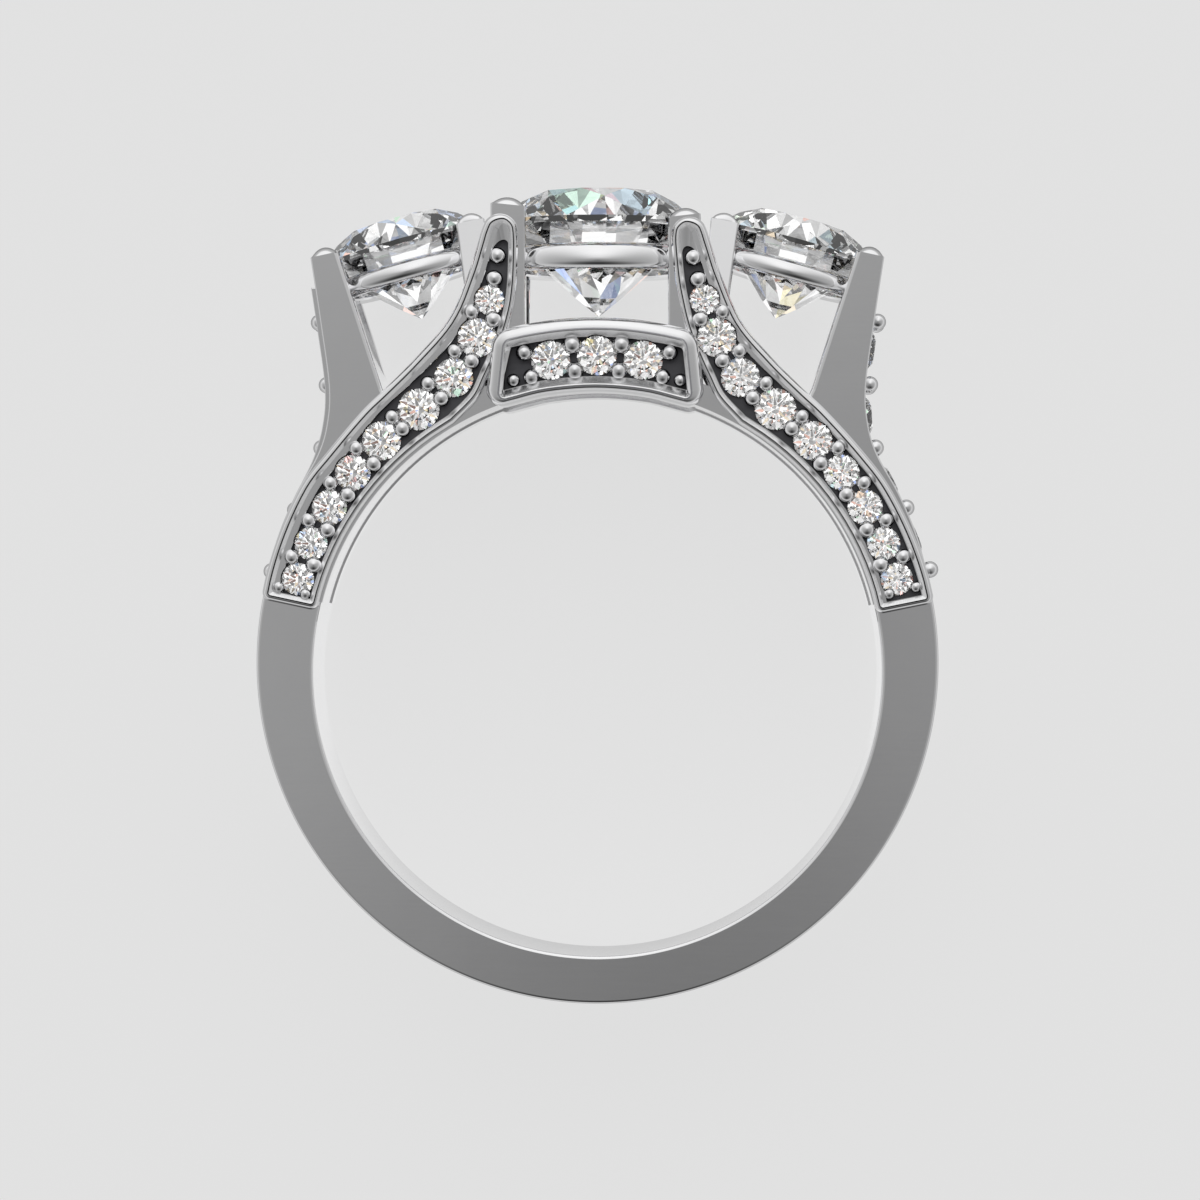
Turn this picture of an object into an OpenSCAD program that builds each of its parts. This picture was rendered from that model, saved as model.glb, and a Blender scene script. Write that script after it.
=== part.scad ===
// Three-stone engagement ring with pave side panels, lying on its side.
// The finger axis is Z, the stones stand toward +Y, and the origin is the
// centre of the finger hole at half the width of the band.

/* [Band] */
// Inside radius of the finger hole
bore_r = 8.5; // [7.5:0.1:9.5]
// Outside radius of the band
band_r = 10.2; // [9.9:0.05:10.5]
// How far the outside circle sits toward the stones
band_rise = 0.26; // [0:0.02:0.4]
// Width of the band along the finger
band_w = 4.7; // [4:0.1:5.5]
// Rounding of the band's edges
edge_round = 0.1; // [0.02:0.02:0.3]
// Thickness of the gallery wall round the upper half of the hole
gallery_t = 0.65; // [0.4:0.05:1]
// How far the side rails stand into the hole
rail_in = 0.1; // [0.02:0.02:0.14]

/* [Side panels] */
// How far the wire border stands in front of the band's face
wire_rise = 0.4; // [0.2:0.05:0.6]
// How far the panel plate stands in front of the band's face
plate_rise = 0.14; // [0.05:0.05:0.3]
// How far the pocket floor lies behind the band's face
floor_sink = 0.12; // [0:0.02:0.3]
// Thickness of the panel plate behind the band's face
plate_t = 0.85; // [0.5:0.05:1.2]
// Width of the wire along the panel's edges
wire_w = 0.2; // [0.1:0.02:0.3]
// Polar angles of the left and right panels' lower ends
foot_angle = [12.6, 11.8]; // [10:0.1:14]
// Heights of the round pocket ends near the left and right panels' tips
pocket_top = [12.88, 12.7]; // [12:0.02:13]
// Rounding of a panel's tip
tip_r = 0.54; // [0.4:0.01:0.6]

/* [Centre head] */
// Diameter of the centre stone
centre_d = 6.15; // [5.5:0.05:6.5]
// Height of the centre stone's point above the hole's centre
centre_point_y = 10.73; // [10.6:0.01:11]
// Widths of the left and right centre prongs
prong_w = [1.05, 0.98]; // [0.6:0.01:1.1]
// Distances of the left and right prongs' inner sides from the mid plane
prong_x = [2.14, 2.12]; // [2:0.01:2.4]
// Heights of the left and right prongs at their outer sides
prong_top = [14.04, 13.71]; // [13.4:0.01:14.2]
// How far a centre prong's top falls toward its stone
prong_fall = 0.11; // [0:0.01:0.2]
// Rise of the cushions on all prongs
dome_rise = 0.2; // [0.1:0.01:0.25]

/* [Side heads] */
// Diameter of a side stone
side_d = 5; // [4.6:0.05:5.2]
// Outward lean of a side head
side_tilt = 15.5; // [10:0.5:20]
// Place of a side stone's point
side_point = [5.36, 10.67]; // [4:0.01:12]

/* [Stones] */
// Gap between a stone and its metal
stone_gap = 0.03; // [0.02:0.01:0.06]
// Table width as a share of the diameter
table_share = 0.56; // [0.5:0.01:0.62]
// Crown height as a share of the diameter
crown_share = 0.15; // [0.12:0.01:0.18]
// Girdle height as a share of the diameter
girdle_share = 0.03; // [0.02:0.005:0.05]
// Pavilion depth as a share of the diameter
pavilion_share = 0.435; // [0.4:0.005:0.46]
// How closely the outer beads of a panel lean over their stones
bead_close = 0.94; // [0.9:0.01:1]
// The same for the beads on the finger side
low_bead_close = 1.02; // [0.9:0.01:1.05]

/* [Hidden] */
$fn = 48;
half_w = band_w / 2;
far = 20;
circle_fn = 120;
LEFT = 0;
RIGHT = 1;

// Inner edge of a side panel from its foot up to the round tip. Columns: x, y.
PANEL_IN = [
    [3.58, 8.10], [3.25, 8.75], [2.95, 9.42], [2.60, 10.35], [2.38, 11.40], [2.29, 12.50]];
panel_in_r = bore_r + 0.1;

// Centre of the tip's rounding, and how far the left and right tips stand from there.
TIP = [2.83, 13.08];
TIP_SHIFT = [[0.07, 0.05], [-0.07, -0.05]];

// Outer edge of a panel from its tip down. Columns: x, y.
PANEL_OUT = [
    [3.52, 12.70], [3.84, 11.80], [4.46, 10.48], [5.45, 9.33], [6.35, 8.43], [7.05, 7.75], [8.05, 6.57]];

// Outer edge of the panel below the last row of PANEL_OUT. Columns: polar angle, radius.
PANEL_LOW = [[32, 10.39], [22, 10.31], [12, 10.22], [2, 10.18]];

// Wire and ledge widths of each side. Columns: wire inset at the tip and at
// the foot, ledge width at the tip and at the foot.
BORDER = [[0.10, 0.14, 0.10, 0.14], [0.10, 0.28, 0.12, 0.02]];

// Stones of a side panel from the tip down. Columns: x, y, diameter.
PANEL_STONES = [
    [3.21, 11.09, 0.90], [3.58, 9.96, 1.18], [4.28, 8.77, 1.18],
    [5.33, 7.82, 1.26], [6.44, 6.88, 1.18], [7.30, 5.93, 1.08],
    [8.00, 4.89, 1.06], [8.55, 3.81, 1.00], [8.94, 2.75, 0.98]];

// Single beads at the two ends of a panel. Columns: x, y, radius.
PANEL_END_BEADS = [[2.92, 12.37, 0.24], [3.04, 11.70, 0.24], [9.49, 2.46, 0.15], [8.62, 2.26, 0.14]];

// Right half of a bridge's outline, from the middle of its foot round to the
// middle of its top. Columns: x, y.
BRIDGE = [
    [0, 8.42], [1.40, 8.30], [2.50, 8.02], [2.98, 7.87], [3.22, 7.96], [3.26, 8.25],
    [3.18, 9.00], [3.10, 9.72], [2.97, 10.03], [2.68, 10.17], [1.50, 10.38], [0, 10.47]];

// Where the foot and the top edge of a bridge would run on past its rounded corners.
BRIDGE_CORNER = [[3.30, 7.77], [3.30, 10.02]];

// Half widths of a bridge at a low and at a high level. Columns: x, y.
BRIDGE_END = [[3.31, 7.6], [2.98, 10.8]];

// The same for a bridge's pocket.
BRIDGE_POCKET_END = [[3.09, 7.6], [2.34, 10.8]];

// Stones of a bridge. Columns: x, y, diameter.
BRIDGE_STONES = [[-1.38, 9.28, 1.18], [0, 9.42, 1.20], [1.38, 9.28, 1.18]];

// Beads at one end of a bridge. Columns: x, y, radius.
BRIDGE_END_BEADS = [[2.17, 9.50, 0.25], [1.96, 8.78, 0.24], [2.49, 8.68, 0.20]];

// Outer side of a shoulder, from the prong's top down to the band.
SHOULDER_OUT = [
    [8.58, 12.37], [8.28, 10.40], [8.03, 8.50], [8.10, 7.35], [8.38, 6.45],
    [9.02, 5.30], [9.60, 3.90], [9.99, 2.30]];

// How far the thin rail on the outer side stands out, left and right.
RAIL_OUT = [0.15, 0];

// Inner side of a shoulder, from its crotch up to the prong's top.
SHOULDER_IN = [[5.85, 7.30], [6.42, 8.45], [7.76, 12.55]];

// Stones on the outer side of a shoulder. Columns: x, y, turn of the outward normal.
EDGE_STONES = [[8.14, 9.70, -8], [8.06, 7.68, 3], [8.72, 5.70, 27], [9.46, 4.00, 22]];
edge_stone_d = 1.3;

// Bead pairs between those stones. Columns: x, y, turn of the outward normal.
EDGE_BEADS = [[8.28, 10.55, -8], [8.04, 8.65, -4], [8.22, 6.68, 18], [9.15, 4.85, 25], [9.86, 3.00, 20]];
edge_bead_r = 0.28;
edge_bead_z = 0.62;

function mix(a, b, t) = a + (b - a) * t;
function polar(r, a) = [r * cos(a), r * sin(a)];
function curve(a, b, c, d, t) = 0.5 * (2 * b + (c - a) * t
    + (2 * a - 5 * b + 4 * c - d) * t * t + (3 * b - a - 3 * c + d) * t * t * t);

// Smooth run through a list of rows, with n steps from each row to the next.
function smooth(p, n) = [
    for (i = [0 : len(p) - 2], j = [0 : n - 1])
        curve(p[max(i - 1, 0)], p[i], p[i + 1], p[min(i + 2, len(p) - 1)], j / n),
    p[len(p) - 1]];

// Share of the way from where a panel starts to lean up to its tip.
function way_up(y) = min(1, max(0, (y - 11) / 2));

// A point of a panel with its part of the tip's shift.
function leaned(side, x, y) = [x, y] + TIP_SHIFT[side] * way_up(y);

// Rows of a panel's round tip. Columns: x, y, side (0 inner, 1 outer), tip (0 or 1).
function tip_rows() = [
    for (a = [176 : -33 : 11])
        concat(TIP + polar(tip_r, a), [a < 90 ? 1 : 0, 1])];

// Whole outline of a panel, with the band side running down past the foot.
function panel_rows(side) = let (
    rows = smooth(concat(
        [concat(polar(panel_in_r, 60), [0, 0])],
        [for (q = PANEL_IN) concat(q, [0, 0])],
        tip_rows(),
        [for (q = PANEL_OUT) concat(q, [1, 0])],
        [for (q = PANEL_LOW) concat(polar(q[1], q[0]), [1, 0])]), 4))
    concat(
        [for (a = [2 : 6 : 56]) concat(polar(panel_in_r, a), [0, 0])],
        [for (q = rows) concat(leaned(side, q[0], q[1]), [q[2], q[3]])]);

// Outward unit normal at row i of an outline that runs clockwise.
function outward(p, i) = let (
    a = p[max(i - 1, 0)], b = p[min(i + 1, len(p) - 1)],
    d = [b[0] - a[0], b[1] - a[1]]) [-d[1], d[0]] / norm(d);

// Share of the way from the tip to the foot, for widths that change along the panel.
function way_down(y) = min(1, max(0, (12 - y) / 10));

// The panel's outline drawn in by a width on each side and a width at the tip.
function drawn_in(rows, outer, inner, tip) = [
    for (i = [0 : len(rows) - 1]) let (
        q = rows[i],
        w = mix(outer[0], outer[1], way_down(q[1])),
        s = min(1, max(0, q[2])), e = min(1, max(0, q[3])))
        [q[0], q[1]] + outward(rows, i) * mix(mix(inner, w, s), tip, e)];

// Panel outline of one side, laid on the right and cut off square at its foot.
module panel_shape(side, outer, inner, tip, foot) {
    intersection() {
        polygon(drawn_in(panel_rows(side), outer, inner, tip));
        rotate(foot_angle[side])
            translate([0, foot])
                square(far);
    }
}

module on_side(side) {
    if (side == LEFT) mirror([1, 0, 0]) children();
    else children();
}

module both_faces() {
    children();
    mirror([0, 0, 1]) children();
}

module slab(z0, z1) {
    translate([0, 0, z0])
        linear_extrude(z1 - z0)
            children();
}

// Points of a round brilliant: table, stars, girdle top, girdle bottom, lower halves, point.
function cut_points(d) = let (
    r = d / 2, rt = r * table_share, hc = d * crown_share, g = d * girdle_share,
    hp = d * pavilion_share, c = cos(22.5), rs = mix(rt * c, r, 0.5), rp = r * 0.24)
    concat(
        [for (k = [0 : 7]) concat(polar(rt, 45 * k + 22.5), [g / 2 + hc])],
        [for (k = [0 : 7]) concat(polar(rs, 45 * k + 45), [g / 2 + hc * (r - rs * c) / (r - rt)])],
        [for (k = [0 : 15]) concat(polar(r, 22.5 * k + 22.5), [g / 2])],
        [for (k = [0 : 15]) concat(polar(r, 22.5 * k + 22.5), [-g / 2])],
        [for (k = [0 : 7]) concat(polar(rp, 45 * k + 45), [-g / 2 - hp * (1 - rp * c / r)])],
        [[0, 0, -g / 2 - hp]]);

cut_faces = let (t = 0, s = 8, u = 16, v = 32, p = 48, point = 56) concat(
    [[for (k = [7 : -1 : 0]) t + k]],
    [for (k = [0 : 7]) [t + k, t + (k + 1) % 8, s + k]],
    [for (k = [0 : 7]) [t + k, s + k, u + 2 * k]],
    [for (k = [0 : 7]) [t + k, u + 2 * k, s + (k + 7) % 8]],
    [for (k = [0 : 7]) [s + k, u + (2 * k + 1) % 16, u + 2 * k]],
    [for (k = [0 : 7]) [s + k, u + (2 * k + 2) % 16, u + 2 * k + 1]],
    [for (k = [0 : 15]) [u + k, u + (k + 1) % 16, v + (k + 1) % 16, v + k]],
    [for (k = [0 : 7]) [p + k, v + 2 * k, v + 2 * k + 1]],
    [for (k = [0 : 7]) [p + k, v + 2 * k + 1, v + (2 * k + 2) % 16]],
    [for (k = [0 : 7]) [point, v + 2 * k, p + k]],
    [for (k = [0 : 7]) [point, p + (k + 7) % 8, v + 2 * k]]);

// A round brilliant with its girdle at z = 0 and its table up.
module brilliant(d) {
    polyhedron(cut_points(d), cut_faces);
}

// Height of a stone's point below its girdle.
function point_depth(d) = d * (pavilion_share + girdle_share / 2);

// The room a large stone needs, from a little below its girdle to above its table.
module stone_room(d) {
    r = d / 2 + stone_gap;
    g = d * girdle_share / 2 + stone_gap;
    rotate_extrude()
        polygon([[0, -r * 2 * pavilion_share - g], [r, -g], [r, g],
            [r * table_share, g + d * crown_share], [0, g + d * crown_share]]);
}

// Turns a stone made with its table up +Z so that it stands in the centre head.
module at_centre() {
    translate([0, centre_point_y + point_depth(centre_d), 0])
        rotate([-90, 0, 0])
            children();
}

// The same for the right side head, which leans outward.
module at_side() {
    lift = point_depth(side_d);
    translate([side_point[0] + lift * sin(side_tilt), side_point[1] + lift * cos(side_tilt), 0])
        rotate([0, 0, -side_tilt])
            rotate([-90, 0, 0])
                children();
}

// Moves to the front of an edge stone or bead, with +Z pointing outward.
module at_edge(q) {
    translate([q[0], q[1], 0])
        rotate([0, 0, q[2]])
            rotate([0, 90, 0])
                children();
}

// A ball-headed bead on a stem, with the ball's centre at z = 0.
module bead(r, stem) {
    sphere(r);
    translate([0, 0, -stem])
        cylinder(r = r * 0.6, h = stem);
}

// Place of the bead between two neighbouring stones, on one hand of their line.
function crotch(p, q, r, hand, close) = let (
    a = close * (p[2] / 2 + r), b = close * (q[2] / 2 + r),
    v = [q[0] - p[0], q[1] - p[1]], d = norm(v), u = v / d,
    t = (a * a - b * b + d * d) / (2 * d), h = sqrt(a * a - t * t))
    [p[0] + u[0] * t - hand * u[1] * h, p[1] + u[1] * t + hand * u[0] * h];

girdle_z = half_w + 0.06;
bridge_lift = 0.1;
bead_z = half_w + 0.28;
bead_stem = bead_z - half_w + floor_sink + 0.3;

// Beads on both hands of a row of stones: r_out on the outer hand, r_in on the other.
module field_beads(stones, r_out, r_in, hand) {
    for (i = [0 : len(stones) - 2]) {
        translate(concat(crotch(stones[i], stones[i + 1], r_out, hand, bead_close), [bead_z]))
            bead(r_out, bead_stem);
        translate(concat(crotch(stones[i], stones[i + 1], r_in, -hand, low_bead_close), [bead_z]))
            bead(r_in, bead_stem);
    }
}

module single_beads(rows) {
    for (q = rows)
        translate([q[0], q[1], bead_z])
            bead(q[2], bead_stem);
}

// Rows of a panel's single beads, leaned with the tip of one side.
function end_beads(side) = [
    for (q = PANEL_END_BEADS) concat(leaned(side, q[0], q[1]), [q[2]])];

// Seats drilled under a row of small stones, blind at their backs.
module seats(stones, z) {
    for (q = stones)
        translate([q[0], q[1], z - q[2] * pavilion_share - 0.1])
            cylinder(r = q[2] / 2 + stone_gap, h = q[2] * pavilion_share + 0.4);
}

module stones_up(stones, z) {
    for (q = stones)
        translate([q[0], q[1], z])
            brilliant(q[2]);
}

// Widths drawn in from the panel's outline: to the wire, past the wire, past the ledge.
foot_inset = 0.08;
inner_inset = 0.1;
tip_inset = inner_inset + wire_w;
function wire_from(b) = [-b[0], -b[1]];
function wire_to(b) = [-b[0] - wire_w, -b[1] - wire_w];
function ledge_to(b) = [-b[0] - wire_w - b[2], -b[1] - wire_w - b[3]];

// Panel plate and the wire along its edge, on the front of the right side.
module panel_plate(side) {
    b = BORDER[side];
    in_w = -inner_inset - wire_w;
    slab(half_w - plate_t, half_w + plate_rise)
        panel_shape(side, [0, 0], 0, 0, 0);
    slab(half_w, half_w + wire_rise)
        difference() {
            panel_shape(side, wire_from(b), -inner_inset, -inner_inset, foot_inset);
            panel_shape(side, wire_to(b), in_w, -tip_inset, foot_inset + wire_w);
        }
}

// Pocket of a side panel with the drilled seats of its stones.
module panel_pocket(side) {
    pocket_end_r = 0.32;
    pocket_end_x = 2.77;
    in_w = -inner_inset - wire_w;
    slab(half_w - floor_sink, half_w + 1)
        intersection() {
            panel_shape(side, ledge_to(BORDER[side]), in_w, -tip_inset, foot_inset + wire_w);
            union() {
                translate([pocket_end_x, pocket_top[side] - pocket_end_r])
                    circle(pocket_end_r);
                square([12, pocket_top[side] - pocket_end_r]);
            }
        }
    seats(PANEL_STONES, girdle_z);
}

module panel_beads(side) {
    field_beads(PANEL_STONES, 0.22, 0.25, 1);
    single_beads(end_beads(side));
}

// Curved frame under the centre stone: face, wire and ledge.
bridge_face = half_w + 0.3;
bridge_wire_at = 0.1;
bridge_wire_rise = 0.25;
bridge_ledge = 0.12;

// A right half laid on both sides of the middle, from left to right.
function both_halves(rows) = concat(
    [for (i = [len(rows) - 1 : -1 : 1]) [-rows[i][0], rows[i][1]]], rows);

// Closed outline of a bridge, clockwise from the middle of its foot.
function bridge_rows() = let (
    n = len(BRIDGE),
    left = [for (i = [0 : n - 2]) [-BRIDGE[i][0], BRIDGE[i][1]]],
    right = [for (i = [n - 1 : -1 : 0]) BRIDGE[i]],
    r = smooth(concat(left, right), 4))
    [for (i = [0 : len(r) - 2]) r[i]];

// Four-sided shape with slanted ends, from the half widths at two levels.
module between_ends(ends, inset) {
    a = ends[0] - [inset, 0];
    b = ends[1] - [inset, 0];
    polygon([a, b, [-b[0], b[1]], [-a[0], a[1]]]);
}

// A bridge's outline, drawn in by a width on every side.
module bridge_shape(inset) {
    n = len(BRIDGE);
    foot = smooth(both_halves([BRIDGE[0], BRIDGE[1], BRIDGE[2], BRIDGE_CORNER[0]]), 4);
    top = smooth(both_halves([BRIDGE[n - 1], BRIDGE[n - 2], BRIDGE[n - 3], BRIDGE_CORNER[1]]), 4);
    if (inset == 0)
        polygon(bridge_rows());
    else
        intersection() {
            polygon(concat([for (q = foot) q + [0, inset]],
                [for (i = [len(top) - 1 : -1 : 0]) top[i] - [0, inset]]));
            between_ends(BRIDGE_END, inset);
        }
}

// Frame plate of a bridge and the wire along its edge.
module bridge_plate() {
    slab(half_w - plate_t, bridge_face)
        bridge_shape(0);
    slab(half_w, bridge_face + bridge_wire_rise)
        difference() {
            bridge_shape(bridge_wire_at);
            bridge_shape(bridge_wire_at + wire_w);
        }
}

module bridge_pocket() {
    slab(half_w - floor_sink, half_w + 1)
        intersection() {
            bridge_shape(bridge_wire_at + wire_w + bridge_ledge);
            between_ends(BRIDGE_POCKET_END, 0);
        }
    seats(BRIDGE_STONES, girdle_z + bridge_lift);
}

module bridge_beads() {
    translate([0, 0, bridge_lift]) {
        field_beads(BRIDGE_STONES, 0.27, 0.24, 1);
        single_beads(BRIDGE_END_BEADS);
        mirror([1, 0, 0]) single_beads(BRIDGE_END_BEADS);
    }
}

// Plain band: a round hoop with softened edges, open above band_end.
module band() {
    e = edge_round;
    inside = bore_r - 2 * band_rise - e;
    band_end = 2.28;
    difference() {
        translate([0, band_rise, 0])
            rotate_extrude($fn = circle_fn)
                polygon([[inside, -half_w], [band_r - e, -half_w], [band_r, -half_w + e],
                    [band_r, half_w - e], [band_r - e, half_w], [inside, half_w]]);
        rotate_extrude($fn = circle_fn)
            polygon([[0, -half_w - 1], [bore_r + e, -half_w - 1], [bore_r + e, -half_w],
                [bore_r, -half_w + e], [bore_r, half_w - e], [bore_r + e, half_w],
                [bore_r + e, half_w + 1], [0, half_w + 1]]);
        translate([-far, band_end, -far])
            cube(2 * far);
    }
}

// Height at which the gallery wall and the shoulders start, inside the band.
wall_foot = 1.6;

// Wall round the upper half of the finger hole, joined to the band.
module gallery() {
    slab(-half_w, half_w)
        difference() {
            circle(bore_r + gallery_t, $fn = circle_fn);
            circle(bore_r, $fn = circle_fn);
            translate([-far, wall_foot - 2 * far])
                square(2 * far);
        }
}

// Thin rails at the front and back edges of the hole, under the side panels.
module rail() {
    rail_start = 13;
    rail_sweep = 50;
    rail_len = 1;
    rotate([0, 0, rail_start])
        rotate_extrude(angle = rail_sweep, $fn = circle_fn)
            translate([bore_r - rail_in, half_w - rail_len])
                square([rail_in + 0.1, rail_len]);
}

// Shoulder of one side, rising into the outer prongs of the side head.
module shoulder(side) {
    outer = smooth(SHOULDER_OUT, 4);
    rail = [for (q = outer) if (q[1] > 6.2 && q[1] < 11.7) q];
    rail_z = 1.9;
    wall_top = 11.35;
    wall_z = 1.5;
    inner_step = 0.2;
    difference() {
        union() {
            slab(-half_w, half_w)
                polygon(concat(SHOULDER_IN, outer,
                    [[9.5, wall_foot], [panel_in_r, wall_foot], [6.4, 6]]));
            slab(-wall_z, wall_z)
                polygon(concat([for (q = SHOULDER_IN) q - [inner_step, 0]], [[7.9, 12.5], [7, 7]]));
            slab(-rail_z, rail_z)
                polygon(concat([for (q = rail) q + [RAIL_OUT[side], 0]], [[7.8, 6.2], [7.8, 11.7]]));
        }
        slab(-wall_z, wall_z)
            translate([6, wall_top])
                square([4, 4]);
    }
    for (z = [-1, 1])
        translate([8.17, 12.46, z * (half_w + wall_z) / 2])
            rotate([0, 0, -12.4])
                prong_dome(0.84, half_w - wall_z);
}

module edge_beads() {
    for (z = [-1, 1], q = EDGE_BEADS)
        translate([0, 0, z * edge_bead_z])
            at_edge(q)
                translate([0, 0, 0.14])
                    bead(edge_bead_r, 0.5);
}

module finger_hole() {
    slab(-half_w + edge_round, half_w - edge_round)
        circle(bore_r, $fn = circle_fn);
}

// Drilled seats of the edge stones.
module seats_edge() {
    depth = edge_stone_d * pavilion_share + 0.15;
    for (q = EDGE_STONES)
        at_edge(q)
            translate([0, 0, -depth])
                cylinder(r = edge_stone_d / 2 + stone_gap, h = depth + 1);
}

// Radius of an arc from its chord and its rise.
function arc_r(chord, rise) = (chord * chord / 4 + rise * rise) / (2 * rise);

// Low cushion on a prong's end, as wide and as deep as the prong and rounded both ways.
module prong_dome(w, deep) {
    across = arc_r(w, dome_rise);
    along = arc_r(deep, 0.7 * dome_rise);
    skirt = 0.3;
    intersection() {
        translate([0, dome_rise - across, -deep / 2])
            cylinder(r = across, h = deep);
        translate([-w / 2, dome_rise - along, 0])
            rotate([0, 90, 0])
                cylinder(r = along, h = w);
        translate([-w / 2, -skirt, -deep / 2])
            cube([w, skirt + dome_rise, deep]);
    }
}

// The four upright prongs of the centre head.
module centre_prongs() {
    prong_z = 1.55;
    prong_foot = 8.7;
    for (side = [LEFT, RIGHT])
        on_side(side) {
            w = prong_w[side];
            top = prong_top[side];
            slab(prong_z, half_w)
                translate([prong_x[side], 0])
                    polygon([[0, prong_foot], [0, top - prong_fall], [w, top], [w, prong_foot]]);
            translate([prong_x[side] + w / 2, top - prong_fall / 2, (prong_z + half_w) / 2])
                rotate([0, 0, atan(prong_fall / w)])
                    prong_dome(w, half_w - prong_z);
        }
}

// Wedge-faced inner prong of the right side head.
module inner_prong() {
    prong_z = 1.45;
    face_turn = 24;
    difference() {
        union() {
            slab(prong_z, half_w)
                polygon([[3.2, 10.6], [3.85, 10.6], [4.25, 13.41], [3.4, 13.59]]);
            translate([3.825, 13.5, (prong_z + half_w) / 2])
                rotate([0, 0, -12])
                    prong_dome(0.87, half_w - prong_z);
        }
        translate([3.3, 0, half_w])
            rotate([0, face_turn, 0])
                cube([5, 20, 5]);
    }
}

// Rounded ring that carries a large stone below its girdle.
module seat_ring(d, drop, high, bulge) {
    thick = 0.75;
    steps = 8;
    cx = d / 2 + bulge - thick / 2;
    translate([0, 0, -drop - high / 2])
        rotate_extrude($fn = 96)
            polygon(concat(
                [[cx - thick / 2, high / 2 - 0.1], [cx - thick / 2, -high / 2]],
                [for (k = [0 : steps]) let (a = mix(-90, 90, k / steps))
                    [cx + thick / 2 * cos(a), high / 2 * sin(a)]]));
}

module metal() {
    band();
    gallery();
    at_centre() seat_ring(centre_d, 0.65, 1, 0.05);
    for (side = [LEFT, RIGHT])
        on_side(side) {
            shoulder(side);
            at_side() seat_ring(side_d, 0.54, 0.72, 0.08);
        }
    both_faces() {
        bridge_plate();
        centre_prongs();
        for (side = [LEFT, RIGHT])
            on_side(side) {
                panel_plate(side);
                inner_prong();
            }
    }
}

module hollows() {
    finger_hole();
    at_centre() stone_room(centre_d);
    for (side = [LEFT, RIGHT])
        on_side(side) {
            at_side() stone_room(side_d);
            seats_edge();
        }
    both_faces() {
        bridge_pocket();
        for (side = [LEFT, RIGHT])
            on_side(side)
                panel_pocket(side);
    }
}

module mounting() color("#d6d6d8") {
    difference() {
        metal();
        hollows();
    }
    for (side = [LEFT, RIGHT])
        on_side(side)
            edge_beads();
    both_faces() {
        bridge_beads();
        for (side = [LEFT, RIGHT])
            on_side(side) {
                panel_beads(side);
                rail();
            }
    }
}

module centre_stone() color("#e8f0f4") {
    at_centre() brilliant(centre_d);
}

module side_stone(side) color("#e8f0f4") {
    on_side(side) at_side() brilliant(side_d);
}

module panel_pave(side) color("#dfeaf0") {
    on_side(side) stones_up(PANEL_STONES, girdle_z);
}

module bridge_pave() color("#dfeaf0") {
    stones_up(BRIDGE_STONES, girdle_z + bridge_lift);
}

module edge_pave(side) color("#dfeaf0") {
    on_side(side)
        for (q = EDGE_STONES)
            at_edge(q)
                brilliant(edge_stone_d);
}

mounting();
centre_stone();
side_stone(LEFT);  // left_stone
side_stone(RIGHT);  // right_stone
panel_pave(LEFT);  // front_left_pave
panel_pave(RIGHT);  // front_right_pave
mirror([0, 0, 1]) panel_pave(LEFT);  // back_left_pave
mirror([0, 0, 1]) panel_pave(RIGHT);  // back_right_pave
bridge_pave();  // front_bridge_pave
mirror([0, 0, 1]) bridge_pave();  // back_bridge_pave
edge_pave(LEFT);  // left_edge_pave
edge_pave(RIGHT);  // right_edge_pave
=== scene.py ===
# Three-stone engagement ring lying on its side: polished white metal, three large
# round brilliants, and small stones held by beads in the panels, bridges and shoulders.
import math
import random

import bmesh
import bpy
from mathutils import Matrix, Vector
from mathutils.geometry import tessellate_polygon


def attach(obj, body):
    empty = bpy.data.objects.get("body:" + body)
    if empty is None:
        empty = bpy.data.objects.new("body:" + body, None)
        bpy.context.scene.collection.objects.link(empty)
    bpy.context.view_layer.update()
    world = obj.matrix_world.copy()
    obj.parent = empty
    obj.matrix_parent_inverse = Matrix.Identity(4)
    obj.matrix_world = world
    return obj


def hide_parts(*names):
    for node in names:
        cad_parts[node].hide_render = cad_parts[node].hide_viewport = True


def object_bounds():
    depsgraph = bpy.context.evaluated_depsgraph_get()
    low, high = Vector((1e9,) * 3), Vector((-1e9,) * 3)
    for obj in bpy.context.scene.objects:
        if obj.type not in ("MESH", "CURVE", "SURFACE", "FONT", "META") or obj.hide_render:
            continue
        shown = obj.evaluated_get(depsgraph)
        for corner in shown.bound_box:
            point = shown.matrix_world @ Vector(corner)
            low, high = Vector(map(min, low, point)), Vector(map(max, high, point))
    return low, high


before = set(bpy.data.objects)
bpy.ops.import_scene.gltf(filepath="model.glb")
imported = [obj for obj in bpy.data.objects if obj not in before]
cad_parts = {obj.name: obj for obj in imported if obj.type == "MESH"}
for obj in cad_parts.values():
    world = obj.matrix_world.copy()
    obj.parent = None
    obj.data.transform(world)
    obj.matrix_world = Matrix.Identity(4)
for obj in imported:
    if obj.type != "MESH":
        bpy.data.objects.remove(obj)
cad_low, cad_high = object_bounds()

# Measures in millimetres, as in the part's source.
MM = 0.001
BORE_R = 8.5
BAND_R = 10.2
BAND_RISE = 0.26
HALF_W = 2.35
BAND_EDGE = 0.1
GALLERY_T = 0.65
GALLERY_INSET = 0.03
GALLERY_ARC = (10, 170)
PLATE_T = 0.85
PLATE_FACE = HALF_W + 0.14
FLOOR_Z = HALF_W - 0.12
GIRDLE_Z = HALF_W + 0.06
BRIDGE_LIFT = 0.1
BRIDGE_FACE = HALF_W + 0.3
BEAD_Z = HALF_W + 0.17

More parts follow.
